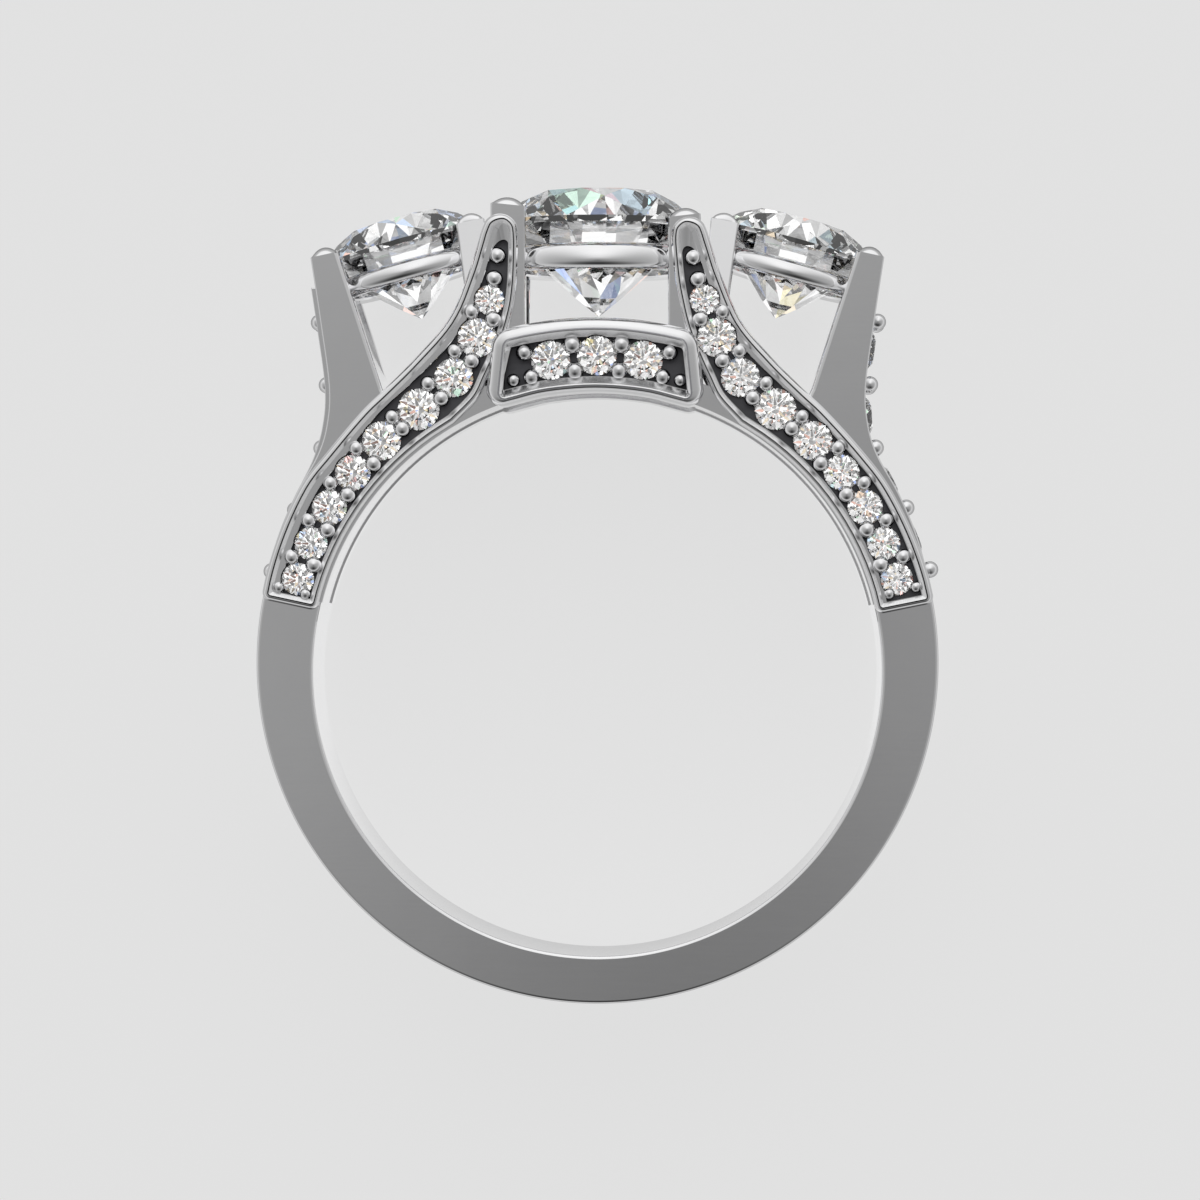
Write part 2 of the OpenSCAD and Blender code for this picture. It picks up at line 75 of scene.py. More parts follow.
# A side panel's foot, the top of its pocket and the pocket's round end, its round tip, how far the tip
# is moved on each side, from which height on and over which height, and its radius round the hole
FOOT_ANGLE = {"left": 12.1, "right": 11.4}
POCKET_TOP = {"left": (2.80, 12.88), "right": (2.73, 12.68)}
POCKET_END_H = 0.42
TIP = (2.83, 13.08)
TIP_R = 0.54
TIP_SHIFT = {"left": (0.07, 0.05), "right": (-0.07, -0.05)}
SHIFT_FROM = 11
SHIFT_OVER = 2
PANEL_IN_R = {"left": BORE_R + 0.05, "right": BORE_R + 0.01}

# The large stones: diameters, points of the pavilions, and the tilt of the side stones
CENTRE_D = 6.15
CENTRE_POINT = (0, 10.73)
SIDE_D = 5.0
SIDE_TILT = 15.5
SIDE_POINT = (5.36, 10.67)

# Heights of a cut stone's parts and the width of its table, as shares of its diameter, and how far
# from its point the lower halves end, as a share of its radius
CROWN_SHARE = 0.15
GIRDLE_SHARE = 0.03
PAVILION_SHARE = 0.435
TABLE_SHARE = 0.56
LOWER_HALVES_END = 0.24

# Gap round a small stone, and its drilled seat: how far below the stone's point it ends, the depth of
# its straight wall, how high it is cut, how wide its foot is as a share of the seat, and its sides
SEAT_GAP = 0.02
SEAT_UNDER = 0.1
SEAT_WALL = 0.12
SEAT_TOP = 1.0
SEAT_FOOT_SHARE = 0.3
SEAT_SIDES = 32

# How much wider and deeper the metal behind a panel or bridge is cut
CLEAR = 0.03

# The band lies this much further in than the feet of the panels.
BAND_INSET = 0.006

# Upright prongs of the centre stone
PRONG_W = {"left": 1.05, "right": 0.98}
PRONG_X = {"left": 2.14, "right": 2.12}
PRONG_TOP = {"left": 14.01, "right": 13.68}
PRONG_FALL = 0.11
PRONG_FOOT = 8.7
PRONG_BACK = 1.55
DOME_RISE = 0.24

# Inner prong of a side head. Its front falls outward and leans back by these degrees.
INNER_PRONG = [(3.2, 10.6), (3.4, 13.59), (4.25, 13.41), (3.85, 10.6)]
INNER_PRONG_X = 3.3
INNER_PRONG_FALL = 6
INNER_PRONG_LEAN = 7.5
INNER_PRONG_BACK = 1.45

# Opening between the two outer prongs of a side head
OUTER_PRONG_BACK = 1.5
PRONG_OPENING = [(5.9, 9.0), (5.9, 14), (9.5, 14), (9.5, 11.35), (7.6, 11.35), (6.6, 9.0)]

# Ring below a large stone: how far its top lies below the girdle, its height, how far it stands out.
CENTRE_SEAT = (0.70, 0.76, 0.05)
SIDE_SEAT = (0.56, 0.58, 0.08)
SEAT_THICK = 0.75

# Its section: edges of the inner side at the top and the foot, height of the widest place above the
# foot, reach of the round below that, and the angle from which the round runs up to the top
RING_TOP_EDGE = 0.16
RING_FOOT_EDGE = 0.06
RING_WIDEST = 0.2
RING_REACH = 0.29
RING_ROUND_FROM = -54

# Inner edge of a side panel up to its round tip, and its outer edge from there down. Columns: x, y.
PANEL_IN = [(3.58, 8.10), (3.25, 8.75), (2.95, 9.42), (2.60, 10.35), (2.38, 11.40), (2.29, 12.50)]
PANEL_OUT = [
    (3.52, 12.70), (3.84, 11.80), (4.46, 10.48), (5.45, 9.33), (6.35, 8.43), (7.05, 7.75), (8.05, 6.57)]

# The right panel's outer edge lies further in. Columns: height, how far.
RIGHT_DRAW = [
    (14, 0), (12.7, 0.02), (11.9, 0.07), (11.2, 0.15), (10, 0.18), (9, 0.21), (7.9, 0.19), (6, 0.09)]

# Outer edge of a panel below that. Columns: polar angle, radius.
PANEL_LOW = {"left": [(32, 10.43), (22, 10.34), (12, 10.27), (2, 10.2)],
             "right": [(32, 10.32), (22, 10.29), (12, 10.28), (2, 10.24)]}

# Widths of the rolled edge and the slope of a panel, at its inner and its outer edge
INNER_RIM = (0.14, 0.13)
OUTER_RIM = (0.18, 0.13)

# Width of the ledge inside the slope. Columns: height, at the inner edge, at the outer edge.
LEDGE = {
    "left": [(13, 0.04, 0.16), (9.6, 0.03, 0.18), (8.4, 0.02, 0.10), (7.6, 0.02, 0.13), (6.8, 0.02, 0.19),
             (2, 0.02, 0.19)],
    "right": [(13, 0.04, 0.15), (9.6, 0.03, 0.13), (8.4, 0.02, 0.06), (6, 0.05, 0.03), (2, 0.12, 0.03)]}
FOOT_BORDER = (0.16, 0.13, 0.03)
FOOT_ROUNDING = 0.26

# Height of a panel's roll above its plate, height of its roll and of its slope, depth of its groove
PANEL_RIM = (0.22, 0.25, 0.11, 0.12)

# Stones of a side panel from the tip down. Columns: x, y, diameter.
PANEL_STONES = [
    (3.21, 11.09, 0.90), (3.58, 9.96, 1.18), (4.28, 8.77, 1.18),
    (5.33, 7.82, 1.26), (6.44, 6.88, 1.18), (7.30, 5.93, 1.08),
    (8.00, 4.89, 1.06), (8.55, 3.81, 1.00), (8.94, 2.75, 0.98)]
PANEL_END_BEADS = [(2.92, 12.37, 0.25), (3.04, 11.70, 0.26), (9.50, 2.51, 0.17), (8.71, 2.31, 0.17)]

# Right half of a bridge's outline: its foot, its end and its top. Columns: x, y.
BRIDGE_FOOT = [(3.30, 7.74), (2.40, 7.99), (1.40, 8.23), (0, 8.34)]
BRIDGE_END = [(3.30, 7.74), (3.19, 8.90), (3.06, 10.13)]
BRIDGE_TOP = [(3.06, 10.13), (2.20, 10.33), (1.10, 10.50), (0, 10.56)]

# Widths of its roll, its sloping edge and its ledge along each of these, and its corner roundings
FOOT_RUN = (0.16, 0.28, 0.02)
END_RUN = (0.38, 0.10, 0.02)
TOP_RUN = (0.35, 0.22, 0.02)
LOW_ROUNDING = 0.46
HIGH_ROUNDING = 0.66
BRIDGE_SHIFT = -0.05
BRIDGE_RIM_H = 0.34
BRIDGE_GROOVE = 0.1

# Half width of its pocket at the height of the foot's middle, and how fast it narrows upward
BRIDGE_POCKET_END = (2.86, 0.23)
BRIDGE_STONES = [(-1.38, 9.28, 1.18), (0, 9.42, 1.20), (1.38, 9.28, 1.18)]
BRIDGE_END_BEADS = [(2.17, 9.50, 0.25), (1.96, 8.78, 0.24), (2.49, 8.68, 0.20)]

# Beads between the stones: radius and closeness on the outer side, then on the finger side
PANEL_BEADS = (0.24, 0.94, 0.26, 0.85)
BRIDGE_BEADS = (0.29, 0.90, 0.26, 0.93)

# Outer side of a shoulder from the prong's top down to the band, and its inner side from below up
SHOULDER_OUT = [
    (8.58, 12.37), (8.28, 10.40), (8.03, 8.50), (8.10, 7.35), (8.38, 6.45),
    (9.02, 5.30), (9.60, 3.90), (9.99, 2.30)]
SHOULDER_IN = [(5.85, 7.30), (6.42, 8.45), (7.76, 12.55)]
SHOULDER_EDGE = 0.09

# How many degrees above a panel's foot a shoulder begins, and its radius round the hole
SHOULDER_FOOT_UP = 0.7
SHOULDER_IN_R = BORE_R + 0.02

# Rail outside the left shoulder: how far it stands out, from which height on and over which height
# it does so, its half length along the finger, its lower and upper end, and its depth in the metal
RAIL_OUT = 0.15
RAIL_OUT_FROM = 5.2
RAIL_OUT_OVER = 1.6
RAIL_HALF = 1.9
RAIL_ENDS = (5.0, 11.7)
RAIL_DEPTH = 0.2

# The rail at an edge of the hole: from and to which angle it runs, and its section. Columns: outward
# from the hole, past the band's face.
HOLE_RAIL_ARC = (13.5, 166)
HOLE_RAIL = [(-0.04, -1), (0.1, -1), (0.1, 0.03), (-0.02, 0.03), (-0.04, 0.01)]

# Stones and bead pairs on the outer side of a shoulder. Columns: x, y, turn of the outward normal.
EDGE_STONE_D = 1.3
EDGE_STONES = [(8.14, 9.70, -8), (8.06, 7.68, 3), (8.72, 5.70, 27), (9.46, 4.00, 22)]
EDGE_BEADS = [(8.28, 10.55, -8), (8.04, 8.65, -4), (8.22, 6.68, 18), (9.15, 4.85, 25), (9.86, 3.00, 20)]
EDGE_BEAD_R = 0.25
EDGE_BEAD_OUT = {"left": 0.02, "right": 0.16}
EDGE_BEAD_Z = 0.62


def mix(a, b, t):
    return a + (b - a) * t


def share(x):
    return min(1.0, max(0.0, x))


def looked_up(table, height, column):
    """A value of a table whose first column falls, by height."""
    above = [row for row in table if row[0] >= height] or table[:1]
    below = [row for row in table if row[0] < height] or table[-1:]
    a, b = above[-1], below[0]
    t = (a[0] - height) / (a[0] - b[0]) if a[0] > b[0] else 0
    return mix(a[column], b[column], share(t))


def polar(r, degrees):
    a = math.radians(degrees)
    return (r * math.cos(a), r * math.sin(a))


def smooth_run(rows, steps):
    """A smooth curve through a list of rows, with a number of steps from row to row."""
    out = []
    last = len(rows) - 1
    for i in range(last):
        a, b, c, d = rows[max(i - 1, 0)], rows[i], rows[i + 1], rows[min(i + 2, last)]
        for j in range(steps):
            t = j / steps
            out.append(tuple(0.5 * (2 * q + (r - p) * t + (2 * p - 5 * q + 4 * r - s) * t * t
                                    + (3 * q - p - 3 * r + s) * t ** 3)
                             for p, q, r, s in zip(a, b, c, d)))
    out.append(tuple(rows[last]))
    return out


def leaned(side, x, y):
    """A point of a panel with its part of the tip's shift."""
    up = share((y - SHIFT_FROM) / SHIFT_OVER)
    dx, dy = TIP_SHIFT[side]
    return (x + dx * up, y + dy * up)


def on_side(side, points):
    """Points of the right side, mirrored for the left."""
    sign = -1 if side == "left" else 1
    return [(sign * p[0],) + tuple(p[1:]) for p in points]


# Steps of a rounded corner, of a rounded edge and between the rows of a curve, the smallest rounding
# of a corner, and the angles from which an edge stays crisp on metal and on beads
CORNER_STEPS = 6
EDGE_STEPS = 4
CURVE_STEPS = 6
BRIDGE_CURVE_STEPS = 5
LEAST_ROUNDING = 0.02
CREASE = math.radians(35)
BEAD_CREASE = math.radians(50)


class Stop:
    """A stop on an outline: its place, the widths of the border there, and whether it is a corner."""

    def __init__(self, at, border, corner=False, border_before=None, rounding=None):
        self.at = Vector(at)
        self.border = border
        self.border_before = border_before or border
        self.corner = corner
        self.rounding = rounding


def set_normals(stops):
    """Inward normals of a closed outline that runs clockwise."""
    count = len(stops)
    for i, s in enumerate(stops):
        before = (s.at - stops[i - 1].at).normalized()
        after = (stops[(i + 1) % count].at - s.at).normalized()
        if not s.corner:
            before = after = (stops[(i + 1) % count].at - stops[i - 1].at).normalized()
        s.normal_before = Vector((before.y, -before.x))
        s.normal_after = Vector((after.y, -after.x))


def drawn_in(stops, shares, corner_r=0.0):
    """The outline drawn in by a share of each border width, with its corners rounded."""
    out = []
    for s in stops:
        after = sum(f * w for f, w in zip(shares, s.border))
        n = s.normal_after
        if not s.corner:
            out.append(s.at + n * after)
            continue
        before = sum(f * w for f, w in zip(shares, s.border_before))
        m = s.normal_before
        cross = m.x * n.y - m.y * n.x
        q = s.at + Vector((before * n.y - after * m.y, after * m.x - before * n.x)) / cross
        rounding = corner_r if s.rounding is None else s.rounding
        r = max(LEAST_ROUNDING, rounding - (before + after) / 2)
        centre = q + (m + n) * r / (1 + m.dot(n))
        turn = math.atan2(cross, m.dot(n))
        for k in range(CORNER_STEPS + 1):
            a = turn * k / CORNER_STEPS
            arm = Vector((m.x * math.cos(a) - m.y * math.sin(a), m.x * math.sin(a) + m.y * math.cos(a)))
            out.append(centre - arm * r)
    return out


def slope_widths(stops):
    """Width of the border's slope at each point of a drawn-in outline."""
    out = []
    for s in stops:
        if s.corner:
            out += [mix(s.border_before[1], s.border[1], k / CORNER_STEPS) for k in range(CORNER_STEPS + 1)]
        else:
            out.append(s.border[1])
    return out


def panel_stops(side):
    """Outline of the right-hand panel with the tip, edges and border widths of one side."""
    foot, low = FOOT_ANGLE[side], PANEL_LOW[side]
    start = [polar(PANEL_IN_R[side], a) + (0,) for a in range(16, 58, 3)]
    tip = []
    for a in range(176, 10, -33):
        x, y = polar(TIP_R, a)
        tip.append((TIP[0] + x, TIP[1] + y, 1 if a < 90 else 0))
    rows = [polar(PANEL_IN_R[side], 60) + (0,)] + [q + (0,) for q in PANEL_IN] + tip
    for x, y in PANEL_OUT:
        drawn = looked_up(RIGHT_DRAW, y, 1) if side == "right" else 0
        rows.append((x - drawn, y, 1))
    rows += [polar(r, a) + (1,) for a, r in low]
    run = smooth_run(rows, CURVE_STEPS)
    run = [q for q in run if q[2] < 0.5 or math.degrees(math.atan2(q[1], q[0])) > foot + 3]

    def border(y, outer):
        inner_ledge, outer_ledge = [looked_up(LEDGE[side], y, column) for column in (1, 2)]
        a, b = INNER_RIM + (inner_ledge,), OUTER_RIM + (outer_ledge,)
        return [mix(p, q, share(outer)) for p, q in zip(a, b)]

    # The foot's outer corner lies between the last two rows of the outer edge.
    (a, r), (b, q) = low[-2:]
    first = polar(PANEL_IN_R[side], foot)
    last = polar(mix(r, q, (a - foot) / (a - b)), foot)
    stops = [Stop(first, border(first[1], 0), True, FOOT_BORDER)]
    stops += [Stop(leaned(side, *q[:2]), border(*q[1:])) for q in start + run]
    stops.append(Stop(last, FOOT_BORDER, True, border(last[1], 1)))
    set_normals(stops)
    return stops


def pocket_points(side):
    """Outline of a panel's pocket: the border's inner edge, with a round end below the tip."""
    points = drawn_in(panel_stops(side), (1, 1, 1), FOOT_ROUNDING)
    top = Vector(POCKET_TOP[side])
    round_end = [i for i, p in enumerate(points) if p.y > top.y - POCKET_END_H]
    a, b = points[round_end[0]], points[round_end[-1]]
    middle = (a + b) / 2
    for k, i in enumerate(round_end):
        turn = math.pi * k / (len(round_end) - 1)
        points[i] = middle + (a - middle) * math.cos(turn) + (top - middle) * math.sin(turn)
    return points


def bridge_stops():
    """Closed outline of a bridge, clockwise from its lower right corner, with room for its roundings."""
    room = 1.15
    foot = BRIDGE_FOOT + [(-x, y) for x, y in BRIDGE_FOOT[-2::-1]]
    left = [(-x, y) for x, y in BRIDGE_END]
    top = [(-x, y) for x, y in BRIDGE_TOP] + BRIDGE_TOP[-2::-1]
    runs = [(foot, FOOT_RUN, LOW_ROUNDING), (left, END_RUN, LOW_ROUNDING),
            (top, TOP_RUN, HIGH_ROUNDING), (BRIDGE_END[::-1], END_RUN, HIGH_ROUNDING)]
    stops = []
    for k, (run, border, rounding) in enumerate(runs):
        next_rounding = runs[(k + 1) % 4][2]
        first, last = Vector(run[0]), Vector(run[-1])
        shift = Vector((BRIDGE_SHIFT, 0))
        stops.append(Stop(first + shift, border, True, runs[k - 1][1], rounding))
        for q in smooth_run(run, BRIDGE_CURVE_STEPS):
            p = Vector(q)
            if (p - first).length > room * rounding and (p - last).length > room * next_rounding:
                stops.append(Stop(p + shift, border))
    set_normals(stops)
    return stops


# Meshes. Every shape is worked out in millimetres and stored in metres.
class Shape:
    """Collects the vertices and faces of one or more closed forms."""

    def __init__(self):
        self.verts, self.faces, self.material_of = [], [], []

    def loft(self, rings, materials=None, closed_ends=True):
        """Skins rings of equal counts, and closes both ends. Materials are given from ring to ring."""
        start = len(self.verts)
        n = len(rings[0])
        materials = materials or [0] * (len(rings) - 1)
        for ring in rings:
            self.verts += [tuple(p) for p in ring]
        for k in range(len(rings) - 1):
            a, b = start + k * n, start + (k + 1) * n
            for i in range(n):
                j = (i + 1) % n
                self.faces.append((a + i, a + j, b + j, b + i))
                self.material_of.append(materials[k])
        if closed_ends:
            for ring_index, m in ((0, materials[0]), (len(rings) - 1, materials[-1])):
                base = start + ring_index * n
                for tri in tessellate_polygon([[Vector(p) for p in rings[ring_index]]]):
                    self.faces.append(tuple(base + i for i in tri))
                    self.material_of.append(m)
        return self

    def piece(self, name, materials):
        """The collected forms as one smooth piece with crisp creases."""
        mesh = bpy.data.meshes.new(name)
        mesh.from_pydata([Vector(v) * MM for v in self.verts], [], self.faces)
        for m in materials:
            mesh.materials.append(m)
        for polygon, index in zip(mesh.polygons, self.material_of):
            polygon.material_index = index
        bm = bmesh.new()
        bm.from_mesh(mesh)
        bmesh.ops.remove_doubles(bm, verts=bm.verts, dist=1e-7)
        bmesh.ops.recalc_face_normals(bm, faces=bm.faces)
        bm.to_mesh(mesh)
        bm.free()
        mesh.shade_smooth()
        mesh.set_sharp_from_angle(angle=CREASE)
        return linked(name, mesh)


def linked(name, data):
    """An object of the scene that holds some data."""
    thing = bpy.data.objects.new(name, data)
    bpy.context.scene.collection.objects.link(thing)
    return thing


def quarter_round(r):
    """Inset and depth of a rounded edge, from the side up to the face."""
    turns = [math.pi / 2 * k / EDGE_STEPS for k in range(EDGE_STEPS + 1)]
    return [(r * (1 - math.cos(a)), r * (1 - math.sin(a))) for a in turns]


def slab_rings(outline, z0, z1, edge_low, edge_high, corner_r=0.0):
    """Rings of a flat plate with rounded edges. The outline is a list of stops."""
    low = [(0, z0)]
    if edge_low:
        low = [(inset, z0 + depth) for inset, depth in reversed(quarter_round(edge_low))]
    high = [(inset, z1 - depth) for inset, depth in quarter_round(edge_high)]
    return [[(p.x, p.y, z) for p in drawn_in(outline, (inset,), corner_r)] for inset, z in low + high]


def four_corners(points, sides):
    """Stops at four corners. Sides hold each side's border, from the side after the first corner on."""
    stops = [Stop(p, (sides[i],), True, (sides[i - 1],)) for i, p in enumerate(points)]
    set_normals(stops)
    return stops


def turned_rings(profile, place):
    """Rings of a profile of (radius, height) turned about +Z and put in place by a matrix."""
    rings = []
    turns = 96
    for k in range(turns):
        a = 2 * math.pi * k / turns
        rings.append([place @ Vector((r * math.cos(a), r * math.sin(a), h)) for r, h in profile])
    return rings + [rings[0]]


def cut_with(piece, cutter):
    """Cuts one closed form out of another."""
    tool = piece.modifiers.new("cut", "BOOLEAN")
    tool.operation = "DIFFERENCE"
    tool.solver = "MANIFOLD"
    tool.object = cutter
    tool.material_mode = "TRANSFER"
    apply_modifiers(piece)
    bpy.data.objects.remove(cutter)
    piece.data.set_sharp_from_angle(angle=CREASE)
    return piece


def apply_modifiers(piece):
    evaluated = piece.evaluated_get(bpy.context.evaluated_depsgraph_get())
    mesh = bpy.data.meshes.new_from_object(evaluated)
    piece.modifiers.clear()
    old = piece.data
    piece.data = mesh
    bpy.data.meshes.remove(old)
    mesh.name = piece.name
    return piece


# Nodes
def feed(tree, node, inputs):
    """Links each of a node's inputs to an output, or sets it to a plain value."""
    for key, value in inputs.items():
        if isinstance(value, bpy.types.NodeSocket):
            tree.links.new(value, node.inputs[key])
        else:
            node.inputs[key].default_value = value


def add(tree, kind, inputs=None, **settings):
    """Adds a node with its settings and inputs."""
    node = tree.nodes.new(kind)
    for name, value in settings.items():
        setattr(node, name, value)
    feed(tree, node, inputs or {})
    return node


def reckoned(tree, operation, *values):
    """The result of a Math node."""
    return add(tree, "ShaderNodeMath", dict(enumerate(values)), operation=operation).outputs["Value"]


def mixed(tree, share_of_b, a, b, blend="MIX"):
    """The colour of a Mix node. Its sockets for colours are inputs 6 and 7 and output 2."""
    return add(tree, "ShaderNodeMix", {"Factor": share_of_b, 6: a, 7: b},
               data_type="RGBA", blend_type=blend).outputs[2]


def ramp(tree, place, stops, interpolation="LINEAR"):
    """The colour at a place on a ramp. Stops hold a position and a colour."""
    node = add(tree, "ShaderNodeValToRGB", {"Fac": place})
    node.color_ramp.interpolation = interpolation
    elements = node.color_ramp.elements
    elements.remove(elements[1])
    elements[0].position, elements[0].color = stops[0]
    for at, colour in stops[1:]:
        elements.new(at).color = colour
    return node.outputs["Color"]


def grey(level):
    return (level, level, level, 1)


def greys(stops):
    return [(at, grey(level)) for at, level in stops]


NUMBER = "NodeSocketFloat"
COUNT = "NodeSocketInt"
COLOUR = "NodeSocketColor"
FINISH = "NodeSocketMaterial"
GEOMETRY = "NodeSocketGeometry"


def new_group(name, kind, inputs, outputs):
    """A node group, the sockets that it is given, and the node that takes its result."""
    group = bpy.data.node_groups.new(name, kind)
    for label, socket_type, value in inputs:
        socket = group.interface.new_socket(label, in_out="INPUT", socket_type=socket_type)
        if value is not None:
            socket.default_value = value
    for label, socket_type in outputs:
        group.interface.new_socket(label, in_out="OUTPUT", socket_type=socket_type)
    return group, group.nodes.new("NodeGroupInput").outputs, group.nodes.new("NodeGroupOutput")


# Materials
def new_material(name):
    material = bpy.data.materials.new(name)
    material.use_nodes = True
    return material, material.node_tree, material.node_tree.nodes["Principled BSDF"]


def polish_group():
    """What polishing leaves on metal: a soft unevenness and fine lines."""
    group, given, result = new_group(
        "polish_marks", "ShaderNodeTree",
        [("Unevenness Scale", NUMBER, 600), ("Line Scale", NUMBER, 9000), ("Roughness", NUMBER, 0.1),
         ("Roughness Spread", NUMBER, 0.05), ("Colour", COLOUR, grey(0.9)),
         ("Worn Colour", COLOUR, grey(0.8))],
        [("Colour", COLOUR), ("Roughness", NUMBER), ("Height", NUMBER)])
    place = add(group, "ShaderNodeTexCoord").outputs["Object"]
    unevenness = add(group, "ShaderNodeTexNoise", {
        "Vector": place, "Scale": given["Unevenness Scale"], "Detail": 3}).outputs["Fac"]
    stretched = add(group, "ShaderNodeMapping", {"Vector": place, "Scale": (0.08, 1, 0.3)}).outputs["Vector"]
    lines = add(group, "ShaderNodeTexNoise", {
        "Vector": stretched, "Scale": given["Line Scale"], "Detail": 4}).outputs["Fac"]
    feed(group, result, {
        "Colour": mixed(group, unevenness, given["Colour"], given["Worn Colour"]),
        "Roughness": reckoned(group, "MULTIPLY_ADD", lines, given["Roughness Spread"], given["Roughness"]),
        "Height": reckoned(group, "MULTIPLY_ADD", lines, 0.25, unevenness)})
    return group


POLISH = polish_group()


def metal_material(name, colour, worn, roughness, spread, bump, edge=1.0):
    """Metal with polishing marks. An edge value below one darkens it where it is seen at a low angle."""
    material, tree, shader = new_material(name)
    marks = add(tree, "ShaderNodeGroup", {
        "Colour": colour + (1,), "Worn Colour": worn + (1,), "Roughness": roughness,
        "Roughness Spread": spread}, node_tree=POLISH).outputs
    relief = add(tree, "ShaderNodeBump", {"Strength": bump, "Distance": 0.00002, "Height": marks["Height"]})
    feed(tree, shader, {
        "Metallic": 1.0, "Specular Tint": grey(edge), "Base Color": marks["Colour"],
        "Roughness": marks["Roughness"], "Normal": relief.outputs["Normal"]})
    return material


# Hues of the painted fire: tints on some facets that stand in for a brilliant's coloured flashes of light
PAINTED_FIRE_HUES = [
    (0.0, (0.35, 0.5, 1, 1)), (0.35, (0.5, 0.75, 1, 1)), (0.5, (0.55, 1, 0.7, 1)),
    (0.65, (1, 0.9, 0.45, 1)), (0.8, (1, 0.6, 0.35, 1)), (1.0, (0.9, 0.35, 0.4, 1))]


def stone_material(name, fire):
    """Clear cut stone. A share of its facets is tinted, painted colour that stands in for the coloured
    flashes of a brilliant's fire.
    """
    material, tree, shader = new_material(name)
    facet = add(tree, "ShaderNodeAttribute", attribute_name="fire").outputs["Vector"]
    chances = add(tree, "ShaderNodeSeparateXYZ", {"Vector": facet}).outputs
    picked = reckoned(tree, "GREATER_THAN", chances["Y"], 1 - fire)
    feed(tree, shader, {
        "Transmission Weight": 1.0, "IOR": 2.42, "Roughness": 0.0,
        "Base Color": mixed(tree, picked, grey(1), ramp(tree, chances["X"], PAINTED_FIRE_HUES))})
    return material


BRIGHT = (0.94, 0.94, 0.945), (0.90, 0.90, 0.91)
PALE = (0.97, 0.97, 0.975), (0.94, 0.94, 0.95)
# Dark metal for seats, pockets and their floors: painted shade, for the shadow inside the recesses.
RECESS_SHADE = (0.18, 0.18, 0.19), (0.12, 0.12, 0.13)
WHITE_METAL = metal_material("white_metal", *BRIGHT, roughness=0.05, spread=0.05, bump=0.06)
SATIN_METAL = metal_material("satin_metal", *PALE, roughness=0.22, spread=0.06, bump=0.03)
BEAD_METAL = metal_material("bead_metal", *BRIGHT, roughness=0.015, spread=0.02, bump=0.02, edge=0.4)
RECESS_SHADE_METAL = metal_material("recess_metal", *RECESS_SHADE, roughness=0.3, spread=0.2, bump=0.3)
LARGE_CUT = stone_material("cut_stone", 0.12)
SMALL_CUT = stone_material("small_stone", 0.06)


# Geometry Nodes trees for what repeats
def of_point(tree, name, kind="FLOAT"):
    """A value that each point carries."""
    return add(tree, "GeometryNodeInputNamedAttribute", {"Name": name}, data_type=kind).outputs["Attribute"]


def facing_turn(tree):
    """The rotation that turns +Z to each point's facing."""
    return add(tree, "FunctionNodeAlignRotationToVector", {
        "Vector": of_point(tree, "facing", "FLOAT_VECTOR")}, axis="Z").outputs["Rotation"]


def put_on_points(tree, points, form, rotation):
    """Real copies of a form on points, by each point's size."""
    put = add(tree, "GeometryNodeInstanceOnPoints", {
        "Points": points, "Instance": form, "Rotation": rotation, "Scale": of_point(tree, "size")})
    real = add(tree, "GeometryNodeRealizeInstances", {"Geometry": put.outputs["Instances"]})
    return real.outputs["Geometry"]


def finished(tree, geometry, material, result):
    last = add(tree, "GeometryNodeSetMaterial", {"Geometry": geometry, "Material": material})
    feed(tree, result, {"Geometry": last.outputs["Geometry"]})
    return tree


def bead_tree():
    """Sets a ball-headed bead on a stem at each point, by the point's radius and facing."""
    tree, given, result = new_group(
        "set_beads", "GeometryNodeTree",
        [("Geometry", GEOMETRY, None), ("Segments", COUNT, 32), ("Rings", COUNT, 20),
         ("Stem Share", NUMBER, 0.6), ("Stem Length", NUMBER, 2.0), ("Metal", FINISH, None)],
        [("Geometry", GEOMETRY)])
    ball = add(tree, "GeometryNodeMeshUVSphere", {"Segments": given["Segments"], "Rings": given["Rings"]})
    stem = add(tree, "GeometryNodeMeshCylinder", {
        "Vertices": given["Segments"], "Radius": given["Stem Share"], "Depth": given["Stem Length"]})
    drop = add(tree, "ShaderNodeCombineXYZ", {"Z": reckoned(tree, "MULTIPLY", given["Stem Length"], -0.5)})
    lowered = add(tree, "GeometryNodeTransform", {
        "Geometry": stem.outputs["Mesh"], "Translation": drop.outputs["Vector"]})
    bead = add(tree, "GeometryNodeJoinGeometry", {"Geometry": ball.outputs["Mesh"]})
    feed(tree, bead, {"Geometry": lowered.outputs["Geometry"]})
    beads = put_on_points(tree, given["Geometry"], bead.outputs["Geometry"], facing_turn(tree))
    return finished(tree, beads, given["Metal"], result)


